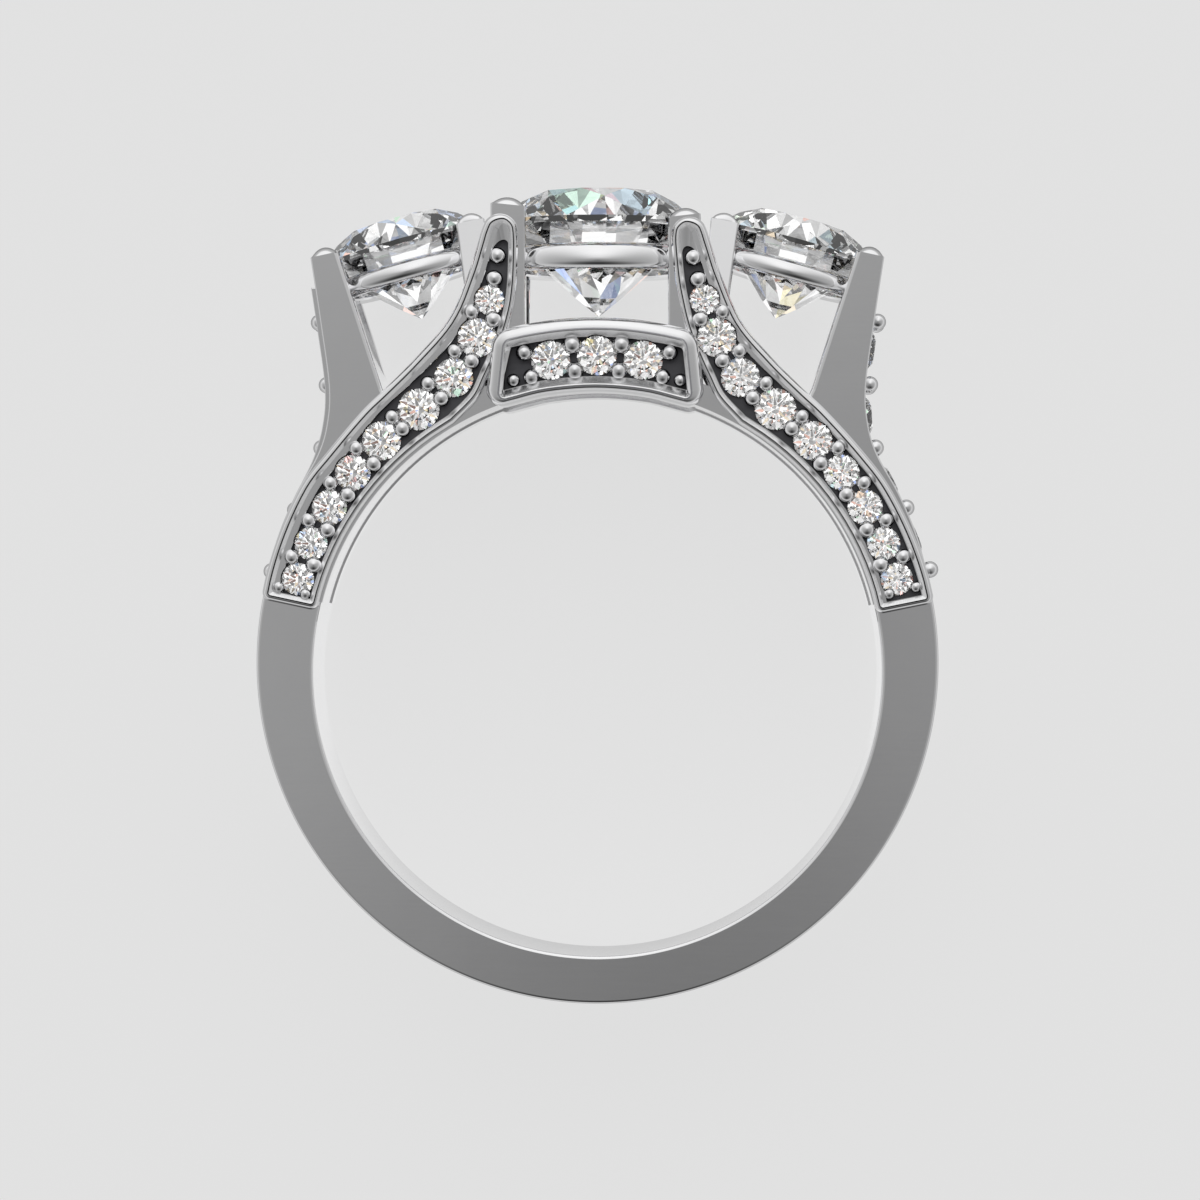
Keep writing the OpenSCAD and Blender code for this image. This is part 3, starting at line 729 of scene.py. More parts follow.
def stone_tree():
    """Sets a cut stone at each point, and gives every facet its own chance of painted fire, a tint standing
    in for coloured flashes of light.
    """
    tree, given, result = new_group(
        "set_stones", "GeometryNodeTree",
        [("Geometry", GEOMETRY, None), ("Cut", "NodeSocketObject", None), ("Seed", COUNT, 1),
         ("Material", FINISH, None)],
        [("Geometry", GEOMETRY)])
    cut = add(tree, "GeometryNodeObjectInfo", {"Object": given["Cut"]}).outputs["Geometry"]
    spin = add(tree, "FunctionNodeAxisAngleToRotation", {"Axis": (0, 0, 1), "Angle": of_point(tree, "spin")})
    turn = add(tree, "FunctionNodeRotateRotation", {
        "Rotation": facing_turn(tree), "Rotate By": spin.outputs["Rotation"]}, rotation_space="LOCAL")
    cuts = put_on_points(tree, given["Geometry"], cut, turn.outputs["Rotation"])
    chance = add(tree, "FunctionNodeRandomValue", {"Seed": given["Seed"]}, data_type="FLOAT_VECTOR")
    marked = add(tree, "GeometryNodeStoreNamedAttribute", {
        "Name": "fire", "Geometry": cuts, "Value": chance.outputs["Value"]},
        data_type="FLOAT_VECTOR", domain="FACE")
    return finished(tree, marked.outputs["Geometry"], given["Material"], result)


SET_BEADS = bead_tree()
SET_STONES = stone_tree()


def grown(name, tree, rows, settings):
    """Runs a tree on points. Rows hold x, y, z, size, facing and spin, in millimetres and radians."""
    mesh = bpy.data.meshes.new(name)
    mesh.from_pydata([Vector(r[:3]) * MM for r in rows], [], [])
    size = mesh.attributes.new("size", "FLOAT", "POINT")
    size.data.foreach_set("value", [r[3] * MM for r in rows])
    facing = mesh.attributes.new("facing", "FLOAT_VECTOR", "POINT")
    facing.data.foreach_set("vector", [c for r in rows for c in r[4]])
    spin = mesh.attributes.new("spin", "FLOAT", "POINT")
    spin.data.foreach_set("value", [r[5] for r in rows])
    piece = linked(name, mesh)
    maker = piece.modifiers.new("maker", "NODES")
    maker.node_group = tree
    for item in tree.interface.items_tree:
        if item.in_out == "INPUT" and item.name in settings:
            maker[item.identifier] = settings[item.name]
    return apply_modifiers(piece)


# Beads and stones of the fields
UP = (0, 0, 1)


def crotch(p, q, r, hand, close):
    """Place of the bead between two neighbouring stones, on one hand of their line."""
    a, b = close * (p[2] / 2 + r), close * (q[2] / 2 + r)
    line = Vector((q[0] - p[0], q[1] - p[1]))
    d = line.length
    line.normalize()
    t = (a * a - b * b + d * d) / (2 * d)
    h = math.sqrt(a * a - t * t)
    return (p[0] + line.x * t - hand * line.y * h, p[1] + line.y * t + hand * line.x * h)


def field_beads(stones, sizes, ends, lift=0.0):
    """Beads on both sides of a row of stones, and single beads at its ends."""
    r_out, close_out, r_in, close_in = sizes
    rows = []
    for p, q in zip(stones, stones[1:]):
        rows.append(crotch(p, q, r_out, 1, close_out) + (BEAD_Z + lift, r_out, UP, 0))
        rows.append(crotch(p, q, r_in, -1, close_in) + (BEAD_Z + lift, r_in, UP, 0))
    return rows + [(x, y, BEAD_Z + lift, r, UP, 0) for x, y, r in ends]


def turned_over(rows):
    """The same rows on the ring's back face."""
    return [(r[0], r[1], -r[2], r[3], (r[4][0], r[4][1], -r[4][2]), r[5]) for r in rows]


def to_left(rows):
    """The same rows on the ring's left side."""
    return [(-r[0], r[1], r[2], r[3], (-r[4][0], r[4][1], r[4][2]), r[5]) for r in rows]


def outward(degrees):
    """Outward direction of a shoulder's side."""
    return polar(1, degrees) + (0,)


def seats_of(table, z, sign, face):
    """Seats of a field on one side and face. Rows hold place, radius and outward direction."""
    return [((sign * x, y, face * z), d / 2 + SEAT_GAP, (0, 0, face)) for x, y, d in table]


def panel_seats(sign, face=1):
    return seats_of(PANEL_STONES, GIRDLE_Z, sign, face)


def bridge_seats(face=1):
    return seats_of(BRIDGE_STONES, GIRDLE_Z + BRIDGE_LIFT, 1, face)


def seat_cutter(seats, wider=0.0):
    """Drilled seats as one cutter, some way wider and deeper."""
    cut = Shape()
    for at, r, facing in seats:
        place = Matrix.Translation(Vector(at)) @ Vector(facing).to_track_quat("Z", "Y").to_matrix().to_4x4()
        depth = 2 * r * PAVILION_SHARE + SEAT_UNDER + wider
        rings = []
        for radius, h in ((r * SEAT_FOOT_SHARE, -depth), (r, -SEAT_WALL), (r, SEAT_TOP)):
            ring = [polar(radius + wider, 360 * k / SEAT_SIDES) + (h,) for k in range(SEAT_SIDES)]
            rings.append([place @ Vector(p) for p in ring])
        cut.loft(rings)
    # The cutter's dark metal passes to the faces that it cuts, so the seats are painted in shade.
    return cut.piece("seat_cutter", [RECESS_SHADE_METAL])


def pocket_cutter():
    """The pockets of both faces as one cutter, for the metal that lies under the panels and bridges."""
    cut = Shape()
    outlines = [on_side(side, pocket_points(side)) for side in ("left", "right")]
    outlines.append(bridge_pocket_points())
    for points in outlines:
        for face in (1, -1):
            cut.loft([[(p[0], p[1], face * z) for p in points] for z in (FLOOR_Z - CLEAR, HALF_W + 1)])
    # The cutter's dark metal passes to the faces that it cuts, so the pockets in the metal behind are
    # painted in shade.
    return cut.piece("pocket_cutter", [RECESS_SHADE_METAL])


def hollowed(piece):
    """Cuts the pockets and the seats of both faces out of a piece behind them, a little wider."""
    cut_with(piece, pocket_cutter())
    for sign in (-1, 1):
        cut_with(piece, seat_cutter(panel_seats(sign) + panel_seats(sign, -1), CLEAR))
    return cut_with(piece, seat_cutter(bridge_seats() + bridge_seats(-1), CLEAR))


# The metal pieces. A face holds the number of its finish in its piece's list; the second finish is dark
# metal painted as shade in recesses.
METALS = [WHITE_METAL, RECESS_SHADE_METAL]
FRAME_METALS = METALS + [SATIN_METAL]
PRONG_METALS = METALS + [BEAD_METAL]
POLISHED, PAINTED_SHADE, LAST = range(3)


def swept(section_at, start, end, steps):
    """Rings of a section of (radius, z) on an arc round the hole. The section may change with the angle."""
    rings = []
    for k in range(steps + 1):
        a = math.radians(mix(start, end, k / steps))
        rings.append([(r * math.cos(a), r * math.sin(a), z) for r, z in section_at(a)])
    return rings


def band():
    """The plain band, swept from under one panel's foot round to the other."""
    def section(a):
        across = BAND_RISE * math.cos(a)
        out_r = BAND_RISE * math.sin(a) + math.sqrt(BAND_R ** 2 - across ** 2) - BAND_INSET
        points = []
        for r, sr, z, sz in ((BORE_R, 1, -HALF_W, 1), (out_r, -1, -HALF_W, 1),
                             (out_r, -1, HALF_W, -1), (BORE_R, 1, HALF_W, -1)):
            arc = [(r + sr * i, z + sz * d) for i, d in quarter_round(BAND_EDGE)]
            points += arc if sr * sz > 0 else arc[::-1]
        return points

    under = 1.5
    start, end = 180 - FOOT_ANGLE["left"] - under, 360 + FOOT_ANGLE["right"] + under
    rings = swept(section, start, end, steps=200)
    return Shape().loft(rings).piece("band", METALS)


def gallery():
    """The wall round the upper half of the finger hole, between the panels."""
    face, out_r = HALF_W - GALLERY_INSET, BORE_R + GALLERY_T
    section = [(BORE_R, -face), (out_r, -face), (out_r, face), (BORE_R, face)]
    rings = swept(lambda a: section, *GALLERY_ARC, steps=96)
    return hollowed(Shape().loft(rings).piece("gallery_wall", METALS))


def shoulder(side):
    """One shoulder with its outer prongs, the opening between them and the seats of its edge stones."""
    sign = -1 if side == "left" else 1
    foot = FOOT_ANGLE[side] + SHOULDER_FOOT_UP
    arc = [polar(SHOULDER_IN_R, a) for a in [foot] + list(range(15, 48, 3))]
    points = arc + SHOULDER_IN + smooth_run(SHOULDER_OUT, CURVE_STEPS)[:-1] + [polar(BAND_R, foot)]
    n, m = len(arc), len(arc) + len(SHOULDER_IN)
    stops = []
    wide, usual = 1.3, 0.5
    for i, p in enumerate(points):
        corner = i in (0, n - 1, n, n + 1, m - 1, m, len(points) - 1)
        after = wide if n <= i < m - 1 else 0 if i == m - 1 else usual
        before = wide if n < i <= m - 1 else 0 if i == m else usual
        stops.append(Stop(p, (after,), corner, (before,)))
    set_normals(stops)
    rings = slab_rings(stops, -HALF_W, HALF_W, SHOULDER_EDGE, SHOULDER_EDGE)
    form = Shape().loft([on_side(side, ring) for ring in rings])
    piece = form.piece(side + "_shoulder", METALS)
    back = OUTER_PRONG_BACK
    opening = Shape().loft([[(x, y, z) for x, y in on_side(side, PRONG_OPENING)] for z in (-back, back)])
    cut_with(piece, opening.piece("opening", [WHITE_METAL]))
    hollowed(piece)
    seats = []
    for x, y, t in EDGE_STONES:
        n = outward(t)
        seats.append(((sign * x, y, 0), EDGE_STONE_D / 2 + SEAT_GAP, (sign * n[0], n[1], 0)))
    return cut_with(piece, seat_cutter(seats))


# Sections of a frame's edge, as shares of its width and height: the roll up from the side, how much of
# the edge the roll takes, how much of the slope the groove takes, and the slope down to the inside
QUARTER = [math.pi / 2 * k / 8 for k in range(9)]
ROLL_UP = [(1 - math.cos(a), math.sin(a)) for a in QUARTER]
ROLL_SHARE = 0.9
GROOVE_SHARE = 0.14
SLOPE_DOWN = [(0, 1), (0.06, 0.99), (0.14, 0.93), (0.9, 0.08), (1, 0)]

# How far the ledge falls to the pocket's edge, in millimetres
LEDGE_FALL = 0.02

# Finish of each step of a frame's section and pocket: roll and groove, slope, ledge, pocket's floor in dark
# metal painted as shade
RIM_FINISH = [POLISHED] * 11 + [LAST] * 4 + [POLISHED] * 3 + [PAINTED_SHADE]


def rim_profile(foot_z, top, outer_high, inner_high, groove):
    """Section of a frame: a roll up from the side, a fine groove, and a slope down to a ledge."""
    profile = [((0, 0, 0), foot_z)]
    profile += [((across * ROLL_SHARE, 0, 0), top - outer_high * (1 - up)) for across, up in ROLL_UP]
    profile += [((1, 0, 0), top - groove)]
    for across, up in SLOPE_DOWN:
        profile.append(((1, mix(GROOVE_SHARE, 1, across), 0), top - inner_high * (1 - up)))
    return profile + [((1, 1, 0.1), top - inner_high), ((1, 1, 0.9), top - inner_high)]


def panel(side):
    """A front panel: plate with rolled edge, groove, slope, ledge and pocket with its seats."""
    stops = panel_stops(side)
    above, outer_high, inner_high, groove = PANEL_RIM
    profile = rim_profile(HALF_W - PLATE_T, PLATE_FACE + above, outer_high, inner_high, groove)
    rings = [[(p.x, p.y, z) for p in drawn_in(stops, shares, FOOT_ROUNDING)] for shares, z in profile]
    pocket = pocket_points(side)
    rings += [[(p.x, p.y, z) for p in pocket] for z in (profile[-1][1] - LEDGE_FALL, FLOOR_Z)]
    piece = Shape().loft(rings, RIM_FINISH).piece("front_" + side + "_panel", FRAME_METALS)
    cut_with(piece, seat_cutter(panel_seats(1)))
    return mirrored(piece, 0) if side == "left" else piece


def mirrored(piece, axis):
    """Mirrors a piece's mesh in place and turns its faces out again."""
    scale = [1, 1, 1]
    scale[axis] = -1
    piece.data.transform(Matrix.Diagonal(scale + [1]))
    piece.data.flip_normals()
    return piece


def copied(piece, name):
    twin = linked(name, piece.data.copy())
    twin.data.name = name
    return twin


def bridge_pocket_points():
    """Outline of a bridge's pocket, with slanted ends."""
    half, narrowing = BRIDGE_POCKET_END
    points = []
    for p in drawn_in(bridge_stops(), (1, 1, 1)):
        limit = half - narrowing * (p.y - BRIDGE_FOOT[-1][1])
        points.append(Vector((max(-limit, min(limit, p.x)), p.y)))
    return points


def bridge():
    """The front bridge: rolled frame, groove, slope as high as it is wide, ledge and a pocket with seats."""
    stops = bridge_stops()
    slopes = slope_widths(stops)
    top = BRIDGE_FACE + BRIDGE_RIM_H
    rings = []
    for shares, z in rim_profile(HALF_W - PLATE_T, top, BRIDGE_RIM_H, 1, BRIDGE_GROOVE):
        points = drawn_in(stops, shares)
        inside = shares[1] > 0
        rings.append([(p.x, p.y, top - (top - z) * w if inside else z) for p, w in zip(points, slopes)])
    pocket = bridge_pocket_points()
    rings.append([(p.x, p.y, top - LEDGE_FALL - w) for p, w in zip(pocket, slopes)])
    rings.append([(p.x, p.y, FLOOR_Z) for p in pocket])
    piece = Shape().loft(rings, RIM_FINISH).piece("front_bridge", FRAME_METALS)
    return cut_with(piece, seat_cutter(bridge_seats()))


def cushion(form, a, b, z_back, z_front_a, z_front_b, rise):
    """A cushion over a prong's end, from a to b and from back to front. It tapers into the prong."""
    steps, inset, taper = 12, 0.04, 0.25
    fullness, fullness_deep = 0.8, 0.6
    a, b = Vector(a), Vector(b)
    a, b = a.lerp(b, inset), b.lerp(a, inset)
    along = b - a
    up = Vector((-along.y, along.x)).normalized()
    if up.y < 0:
        up = -up

    def at(t, depth, high):
        p = a + along * t + up * high
        return (p.x, p.y, mix(z_back, mix(z_front_a, z_front_b, t), depth))

    top = []
    for i in range(steps + 1):
        for j in range(steps + 1):
            t, depth = i / steps, j / steps
            high = rise * (4 * t * (1 - t)) ** fullness * (4 * depth * (1 - depth)) ** fullness_deep
            top.append(at(t, depth, high))
    side = range(steps)
    rim = [(i, 0) for i in side] + [(steps, j) for j in side] + [(steps - i, steps) for i in side]
    rim += [(0, steps - j) for j in side]
    low = [at(mix(i / steps, 0.5, taper), mix(j / steps, 0.5, taper), -taper) for i, j in rim]
    start = len(form.verts)
    form.verts += top + low
    for i in side:
        for j in side:
            k = start + i * (steps + 1) + j
            form.faces.append((k, k + 1, k + steps + 2, k + steps + 1))
    lower = start + len(top)
    for k, (i, j) in enumerate(rim):
        n = (k + 1) % len(rim)
        high, next_high = [start + q[0] * (steps + 1) + q[1] for q in (rim[k], rim[n])]
        form.faces.append((high, next_high, lower + n, lower + k))
    form.faces.append(tuple(range(lower, lower + len(rim))))
    form.material_of += [LAST] * (steps * steps + len(rim) + 1)


def centre_prongs():
    """Four upright prongs with cushioned tops that fall a little toward the stone."""
    form = Shape()
    for side, sign in (("left", -1), ("right", 1)):
        x0, top = PRONG_X[side], PRONG_TOP[side]
        x1 = x0 + PRONG_W[side]
        corners = [(x0, PRONG_FOOT), (x0, top - PRONG_FALL), (x1, top), (x1, PRONG_FOOT)]
        stops = four_corners(corners, (1, 0, 1, 0))
        ends = [(sign * s.at.x, s.at.y) for s in stops[1:3]]
        for z_sign in (1, -1):
            rings = slab_rings(stops, PRONG_BACK, HALF_W, edge_low=0.04, edge_high=0.07)
            form.loft([[(sign * x, y, z_sign * z) for x, y, z in ring] for ring in rings])
            cushion(form, *ends, z_sign * PRONG_BACK, z_sign * HALF_W, z_sign * HALF_W, DOME_RISE)
    return form.piece("centre_prongs", PRONG_METALS)


def side_prongs():
    """The four wedge-faced inner prongs, and the cushions on all the side heads' prongs."""
    form = Shape()
    fall, lean = [math.tan(math.radians(t)) for t in (INNER_PRONG_FALL, INNER_PRONG_LEAN)]
    stops = four_corners(INNER_PRONG, (0.5, 0, 1, 0))

    def face_z(x, y):
        return HALF_W - (x - INNER_PRONG_X) * fall - (y - INNER_PRONG[0][1]) * lean

    def leaning(x, y, z):
        return z if z == INNER_PRONG_BACK else z - HALF_W + face_z(x, y)

    z_a, z_b = [face_z(x, y) for x, y in INNER_PRONG[1:3]]
    for sign in (-1, 1):
        inner = [(sign * x, y) for x, y in INNER_PRONG[1:3]]
        outer = [(sign * x, y) for x, y in (SHOULDER_IN[-1], SHOULDER_OUT[0])]
        for z_sign in (1, -1):
            rings = slab_rings(stops, INNER_PRONG_BACK, HALF_W, edge_low=0, edge_high=0.06)
            form.loft([[(sign * x, y, z_sign * leaning(x, y, z)) for x, y, z in ring] for ring in rings])
            cushion(form, *inner, z_sign * INNER_PRONG_BACK, z_sign * z_a, z_sign * z_b, DOME_RISE)
            cushion(form, *outer, z_sign * OUTER_PRONG_BACK, z_sign * HALF_W, z_sign * HALF_W, DOME_RISE)
    return form.piece("side_prongs", PRONG_METALS)


def head_place(point, diameter, tilt):
    """Matrix that stands a stone or ring, made with its axis up +Z, in its head."""
    lift = diameter * (PAVILION_SHARE + GIRDLE_SHARE / 2)
    a = math.radians(tilt)
    at = Vector((point[0] + lift * math.sin(a), point[1] + lift * math.cos(a), 0))
    return Matrix.Translation(at) @ Matrix.Rotation(-a, 4, "Z") @ Matrix.Rotation(-math.pi / 2, 4, "X")


def seat_ring(name, diameter, sizes, place):
    """Rounded ring that carries a large stone below its girdle."""
    drop, high, bulge = sizes
    middle = diameter / 2 + bulge - SEAT_THICK / 2
    low = -high / 2 + RING_WIDEST
    profile = [
        (middle - SEAT_THICK / 2, high / 2 - RING_TOP_EDGE),
        (middle - SEAT_THICK / 2, -high / 2 + RING_FOOT_EDGE),
        (middle - SEAT_THICK / 2 + RING_FOOT_EDGE, -high / 2)]
    steps = 30
    for k in range(steps + 1):
        a = math.radians(mix(RING_ROUND_FROM, 90, k / steps))
        tall = high / 2 - low if a > 0 else RING_REACH
        profile.append((middle + SEAT_THICK / 2 * math.cos(a), low + tall * math.sin(a)))
    rings = turned_rings([(r, h - drop - high / 2) for r, h in profile], place)
    return Shape().loft(rings, closed_ends=False).piece(name, [WHITE_METAL])


def rail_out(y):
    """How far the rail outside the left shoulder stands out at a height."""
    return RAIL_OUT * share((y - RAIL_OUT_FROM) / RAIL_OUT_OVER)


def hole_rails():
    """Thin rails at the edges of the hole, and the rail outside the left shoulder."""
    form = Shape()
    for z_sign in (1, -1):
        section = [(BORE_R + out, z_sign * (HALF_W + past)) for out, past in HOLE_RAIL]
        form.loft(swept(lambda a: section, *HOLE_RAIL_ARC, steps=120))
    low, high = RAIL_ENDS
    rail = [q for q in smooth_run(SHOULDER_OUT, CURVE_STEPS) if low < q[1] < high]
    points = [(x + rail_out(y), y) for x, y in rail] + [(x - RAIL_DEPTH, y) for x, y in rail[::-1]]
    corners = (0, len(rail) - 1, len(rail), len(points) - 1)
    stops = [Stop(p, (1,), i in corners) for i, p in enumerate(points)]
    set_normals(stops)
    rings = slab_rings(stops, -RAIL_HALF, RAIL_HALF, edge_low=0.03, edge_high=0.03, corner_r=0.02)
    form.loft([on_side("left", ring) for ring in rings])
    return form.piece("rails", [WHITE_METAL])


# The stones
def cut_form():
    """A round brilliant of diameter one: table, stars, bezels, upper halves, girdle and pavilion."""
    c = math.cos(math.radians(22.5))
    r, rt, g = 0.5, 0.5 * TABLE_SHARE, GIRDLE_SHARE / 2
    rs, rp = mix(rt * c, r, 0.5), r * LOWER_HALVES_END

    def ring(count, radius, turn, z):
        return [polar(radius, 360 / count * k + turn) + (z,) for k in range(count)]

    verts = ring(8, rt, 22.5, g + CROWN_SHARE)
    verts += ring(8, rs, 45, g + CROWN_SHARE * (r - rs * c) / (r - rt))
    verts += ring(16, r, 22.5, g) + ring(16, r, 22.5, -g)
    verts += ring(8, rp, 45, -g - PAVILION_SHARE * (1 - rp * c / r)) + [(0, 0, -g - PAVILION_SHARE)]
    star, top, low, main, point = 8, 16, 32, 48, 56
    faces = [tuple(range(8))]
    for k in range(8):
        n = (k + 1) % 8
        faces.append((k, star + k, n))
        faces.append((k, star + (k + 7) % 8, top + 2 * k, star + k))
        faces.append((star + k, top + 2 * k, top + 2 * k + 1))
        faces.append((star + k, top + 2 * k + 1, top + (2 * k + 2) % 16))
        faces.append((main + k, low + 2 * k + 1, low + 2 * k))
        faces.append((main + k, low + (2 * k + 2) % 16, low + 2 * k + 1))
        faces.append((point, main + k, low + 2 * k, main + (k + 7) % 8))
    for k in range(16):
        n = (k + 1) % 16
        faces.append((top + k, low + k, low + n, top + n))
    mesh = bpy.data.meshes.new("cut_form")
    mesh.from_pydata(verts, [], faces)
    bm = bmesh.new()
    bm.from_mesh(mesh)
    bmesh.ops.recalc_face_normals(bm, faces=bm.faces)
    bm.to_mesh(mesh)
    bm.free()
    return linked("cut_form", mesh)


def stones(name, rows, material, seed, form):
    return grown(name, SET_STONES, rows, {"Cut": form, "Seed": seed, "Material": material})


def stone_rows(table, z, seed):
    """Rows of a field's stones, each turned on its own axis by chance."""
    luck = random.Random(seed)
    return [(x, y, z, d, UP, luck.uniform(0, math.pi / 4)) for x, y, d in table]


# Building. A flat counts as large from this many square millimetres on.
LARGE_FLAT = 0.3


def evened(piece):
    """Lets every large flat face shade flat, with a crisp line where its rounded edge begins."""
    def facing(face):
        return tuple(round(c, 3) for c in face.normal)

    areas = {}
    for face in piece.data.polygons:
        areas[facing(face)] = areas.get(facing(face), 0) + face.area
    large = {n for n, area in areas.items() if area > LARGE_FLAT * MM * MM}
    bm = bmesh.new()
    bm.from_mesh(piece.data)
    for edge in bm.edges:
        sides = [facing(face) for face in edge.link_faces]
        if len(sides) == 2 and sides[0] != sides[1] and large.intersection(sides):
            edge.smooth = False
    bm.to_mesh(piece.data)
    bm.free()
    return piece


def keep(piece, slot, *nodes):
    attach(piece, "root")
    if nodes:
        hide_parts(*nodes)


metal_pieces = [band(), gallery(), hollowed(centre_prongs()), hollowed(side_prongs()), hole_rails()]
for side in ("left", "right"):
    metal_pieces.append(shoulder(side))
    front = panel(side)
    back = mirrored(copied(front, "back_" + side + "_panel"), 2)
    place = head_place(SIDE_POINT, SIDE_D, SIDE_TILT)
    if side == "left":
        place = Matrix.Diagonal((-1, 1, 1, 1)) @ place
    metal_pieces += [front, back, seat_ring(side + "_seat", SIDE_D, SIDE_SEAT, place)]
front = bridge()
metal_pieces += [front, mirrored(copied(front, "back_bridge"), 2)]
metal_pieces.append(seat_ring("centre_seat", CENTRE_D, CENTRE_SEAT, head_place(CENTRE_POINT, CENTRE_D, 0)))

bridge_ends = BRIDGE_END_BEADS + [(-x, y, r) for x, y, r in BRIDGE_END_BEADS]
face_rows = field_beads(BRIDGE_STONES, BRIDGE_BEADS, bridge_ends, BRIDGE_LIFT)
edge_rows = []
for side in ("left", "right"):
    ends = [leaned(side, x, y) + (r,) for x, y, r in PANEL_END_BEADS]
    rows = field_beads(PANEL_STONES, PANEL_BEADS, ends)
    face_rows += to_left(rows) if side == "left" else rows
    rows = []
    for x, y, t in EDGE_BEADS:
        n = outward(t)
        out = EDGE_BEAD_OUT[side] + (rail_out(y) if side == "left" else 0)
        for z in (EDGE_BEAD_Z, -EDGE_BEAD_Z):
            rows.append((x + n[0] * out, y + n[1] * out, z, EDGE_BEAD_R, n, 0))
    edge_rows += to_left(rows) if side == "left" else rows
for name, rows in (("front_beads", face_rows), ("back_beads", turned_over(face_rows)),
                   ("edge_beads", edge_rows)):
    beads = grown(name, SET_BEADS, rows, {"Metal": BEAD_METAL})
    beads.data.shade_smooth()
    beads.data.set_sharp_from_angle(angle=BEAD_CREASE)
    keep(beads, "white_metal", "mounting")
for piece in metal_pieces:
    keep(evened(piece), "white_metal", "mounting")

cut = cut_form()
right = stone_rows(PANEL_STONES, GIRDLE_Z, 3)
left = to_left(stone_rows(PANEL_STONES, GIRDLE_Z, 5))
middle = stone_rows(BRIDGE_STONES, GIRDLE_Z + BRIDGE_LIFT, 7)
edge = [(x, y, 0, EDGE_STONE_D, outward(t), 0.2) for x, y, t in EDGE_STONES]
fields = [
    ("front_right_pave", right), ("front_left_pave", left), ("back_right_pave", turned_over(right)),
    ("back_left_pave", turned_over(left)), ("front_bridge_pave", middle),
    ("back_bridge_pave", turned_over(middle)), ("right_edge_pave", edge), ("left_edge_pave", to_left(edge))]

# These seeds leave the table of every small stone clear of painted fire.
for seed, (node, rows) in enumerate(fields, start=21):
    keep(stones(node + "_stones", rows, SMALL_CUT, seed, cut), "small_stone", node)
for node, point, size, tilt, sign, spin, seed in (
        ("centre_stone", CENTRE_POINT, CENTRE_D, 0, 1, 0.1, 32),
        ("left_stone", SIDE_POINT, SIDE_D, SIDE_TILT, -1, 0.3, 34),
        ("right_stone", SIDE_POINT, SIDE_D, SIDE_TILT, 1, 0.5, 36)):
    place = head_place(point, size, tilt)
    at = place.translation
    facing = place.to_3x3() @ Vector((0, 0, 1))
    row = (sign * at.x, at.y, at.z, size, (sign * facing.x, facing.y, facing.z), spin)
    keep(stones(node + "_cut", [row], LARGE_CUT, seed, cut), "cut_stone", node)
bpy.data.objects.remove(cut)


# Floor, light and camera. How bright metal sees the floor, by distance from the ring's middle as a
# share of the reach. It is darkest from 15 to 30 mm, so that the sides stand out from the floor.
FLOOR_SEEN = [
    (0, 0.48), (0.055, 0.5), (0.072, 0.75), (0.09, 0.75), (0.106, 0.52), (0.15, 0.42), (0.3, 0.4), (1, 0.62)]
FLOOR_REACH = 100
RING_MIDDLE_Y = 2.2

# How bright the camera sees the floor and what is behind it
FLOOR_LEVEL = 0.69
BACKDROP_LEVEL = 0.76

# How bright the studio is round the ring. Columns: degrees from straight up out of the hole,
# then toward the left, the right, the stones and the band's foot.
STUDIO = [
    (0, 0.25, 0.25, 0.27, 0.24), (5, 0.33, 0.31, 0.35, 0.18), (10, 0.34, 0.32, 0.52, 0.20),
    (16, 0.35, 0.33, 0.78, 0.20), (25, 0.36, 0.35, 0.92, 0.14), (35, 0.38, 0.36, 1.0, 0.06),
    (47, 0.40, 0.37, 1.0, 0.03), (60, 0.45, 0.41, 1.0, 0.04), (75, 0.57, 0.52, 0.98, 0.42),
    (90, 0.72, 0.70, 0.95, 0.75)]

# What the stones see instead: patches of light, bands by height, and small coloured glints
PATCHES = [(0, 0.5), (0.14, 0.8), (0.3, 1.0), (0.6, 1.2), (0.86, 1.35), (0.95, 2.0)]
PATCH_SCALE = 2.6
BANDS = [
    (0, 0.3), (0.07, 1.0), (0.17, 0.4), (0.22, 1.1), (0.31, 0.6), (0.36, 1.1), (0.44, 0.5), (0.5, 1.0),
    (0.62, 0.6), (0.72, 1.0), (0.85, 0.5), (0.92, 1.0)]
GLINTS = [
    (0, (0.5, 0.62, 1, 1)), (0.05, (1, 0.62, 0.52, 1)), (0.07, (0.6, 0.9, 0.66, 1)),
    (0.09, (1, 0.86, 0.64, 1)), (0.11, (1, 1, 1, 1))]
GLINT_SCALE = 7.0


def floor():
    size, z = 2.0, cad_low.z
    mesh = bpy.data.meshes.new("floor")
    corners = [(-size, -size, z), (size, -size, z), (size, size, z), (-size, size, z)]
    mesh.from_pydata(corners, [], [(0, 1, 2, 3)])
    material, tree, shader = new_material("pale_floor")
    place = add(tree, "ShaderNodeTexCoord").outputs["Object"]
    away = add(tree, "ShaderNodeVectorMath", {0: place, 1: (0, RING_MIDDLE_Y * MM, z)}, operation="DISTANCE")
    reach = reckoned(tree, "DIVIDE", away.outputs["Value"], FLOOR_REACH * MM)
    ray = add(tree, "ShaderNodeLightPath").outputs
    seen = mixed(tree, ray["Is Glossy Ray"], grey(FLOOR_LEVEL), ramp(tree, reach, greys(FLOOR_SEEN)))
    feed(tree, shader, {
        "Base Color": grey(0.14), "Roughness": 0.9, "Specular IOR Level": 0.1, "Emission Color": seen,
        "Emission Strength": 1.0})
    mesh.materials.append(material)
    plane = linked("floor", mesh)
    plane.visible_transmission = False


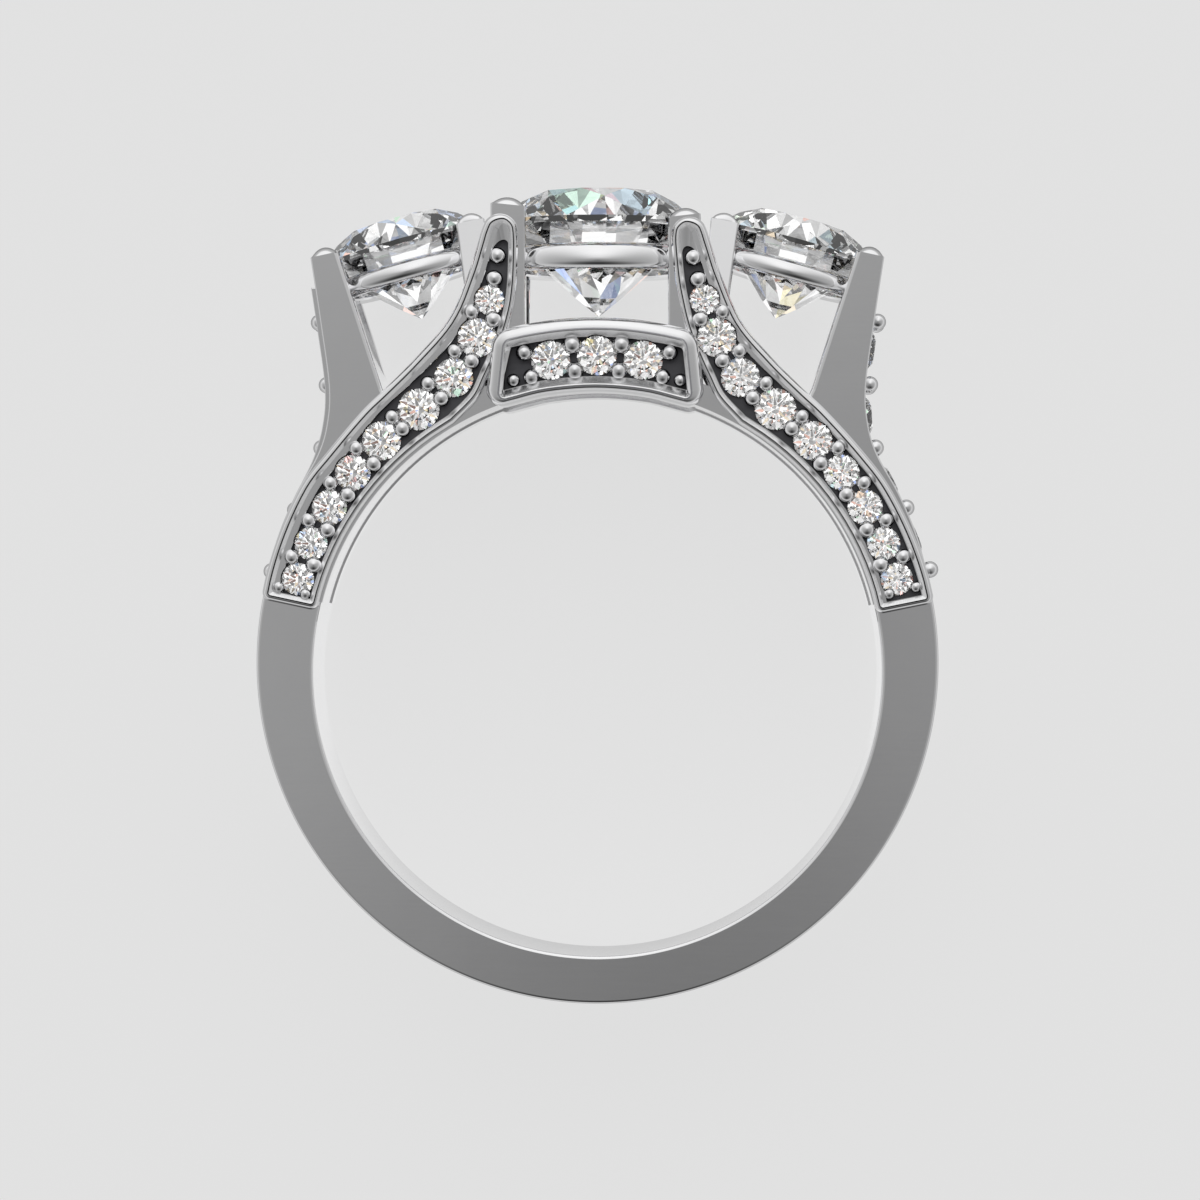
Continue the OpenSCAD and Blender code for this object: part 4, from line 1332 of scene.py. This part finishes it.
def studio_light():
    """A soft studio round the ring, brighter toward the stones. The stones see more, smaller lights."""
    world = bpy.data.worlds.new("studio")
    bpy.context.scene.world = world
    world.use_nodes = True
    tree = world.node_tree
    way = add(tree, "ShaderNodeTexCoord").outputs["Generated"]
    parts = add(tree, "ShaderNodeSeparateXYZ", {"Vector": way}).outputs
    x, y = parts["X"], parts["Y"]
    angle = reckoned(tree, "ARCCOSINE", parts["Z"])
    spread = reckoned(tree, "DIVIDE", angle, math.pi / 2)
    toward = ramp(tree, spread, [(row[0] / 90, row[1:4] + (1,)) for row in STUDIO])
    hands = add(tree, "ShaderNodeSeparateColor", {"Color": toward}).outputs
    below = ramp(tree, spread, greys([(row[0] / 90, row[4]) for row in STUDIO]))
    side = mixed(tree, reckoned(tree, "GREATER_THAN", x, 0), hands["Red"], hands["Green"])
    upright = mixed(tree, reckoned(tree, "GREATER_THAN", y, 0), below, hands["Blue"])
    x_squared, y_squared = reckoned(tree, "MULTIPLY", x, x), reckoned(tree, "MULTIPLY", y, y)
    share_of_y = reckoned(tree, "DIVIDE", y_squared, reckoned(tree, "ADD", x_squared, y_squared))
    soft = mixed(tree, share_of_y, side, upright)

    def chance(scale, channel):
        cells = add(tree, "ShaderNodeTexVoronoi", {"Vector": way, "Scale": scale}).outputs["Color"]
        return add(tree, "ShaderNodeSeparateColor", {"Color": cells}).outputs[channel]

    patches = ramp(tree, chance(PATCH_SCALE, "Red"), greys(PATCHES), "CONSTANT")
    glints = ramp(tree, chance(GLINT_SCALE, "Green"), GLINTS, "CONSTANT")
    bands = ramp(tree, reckoned(tree, "DIVIDE", angle, math.pi), greys(BANDS), "CONSTANT")
    sparkle = mixed(tree, 1, patches, mixed(tree, 1, glints, bands, "MULTIPLY"), "MULTIPLY")
    ray = add(tree, "ShaderNodeLightPath").outputs
    seen = mixed(tree, ray["Is Transmission Ray"], soft, sparkle)
    shown = mixed(tree, ray["Is Camera Ray"], seen, grey(BACKDROP_LEVEL))
    feed(tree, tree.nodes["Background"], {"Color": shown})


# The photo's viewpoint: 148 mm in front of the ring's face, a little right of and above the hole
CAMERA_AT = (3.224, 1.29, 150.35)
CAMERA_WAY = (-0.02118, 0.00565, -1)
CAMERA_LENS = 148.7
SENSOR_W = 36


def camera():
    data = bpy.data.cameras.new("camera")
    data.sensor_width = SENSOR_W
    data.lens = CAMERA_LENS
    data.clip_start = 0.01
    forward = Vector(CAMERA_WAY).normalized()
    right = forward.cross(Vector((0, 1, 0))).normalized()
    up = right.cross(forward)
    cam = linked("camera", data)
    cam.location = Vector(CAMERA_AT) * MM
    cam.rotation_mode = "QUATERNION"
    cam.rotation_quaternion = Matrix((right, up, -forward)).transposed().to_quaternion()
    bpy.context.scene.camera = cam


floor()
studio_light()
camera()
view = bpy.context.scene.view_settings
view.view_transform = "Standard"
view.look = "None"
cycles = bpy.context.scene.cycles
cycles.max_bounces = 16
cycles.transmission_bounces = 14
cycles.glossy_bounces = 6
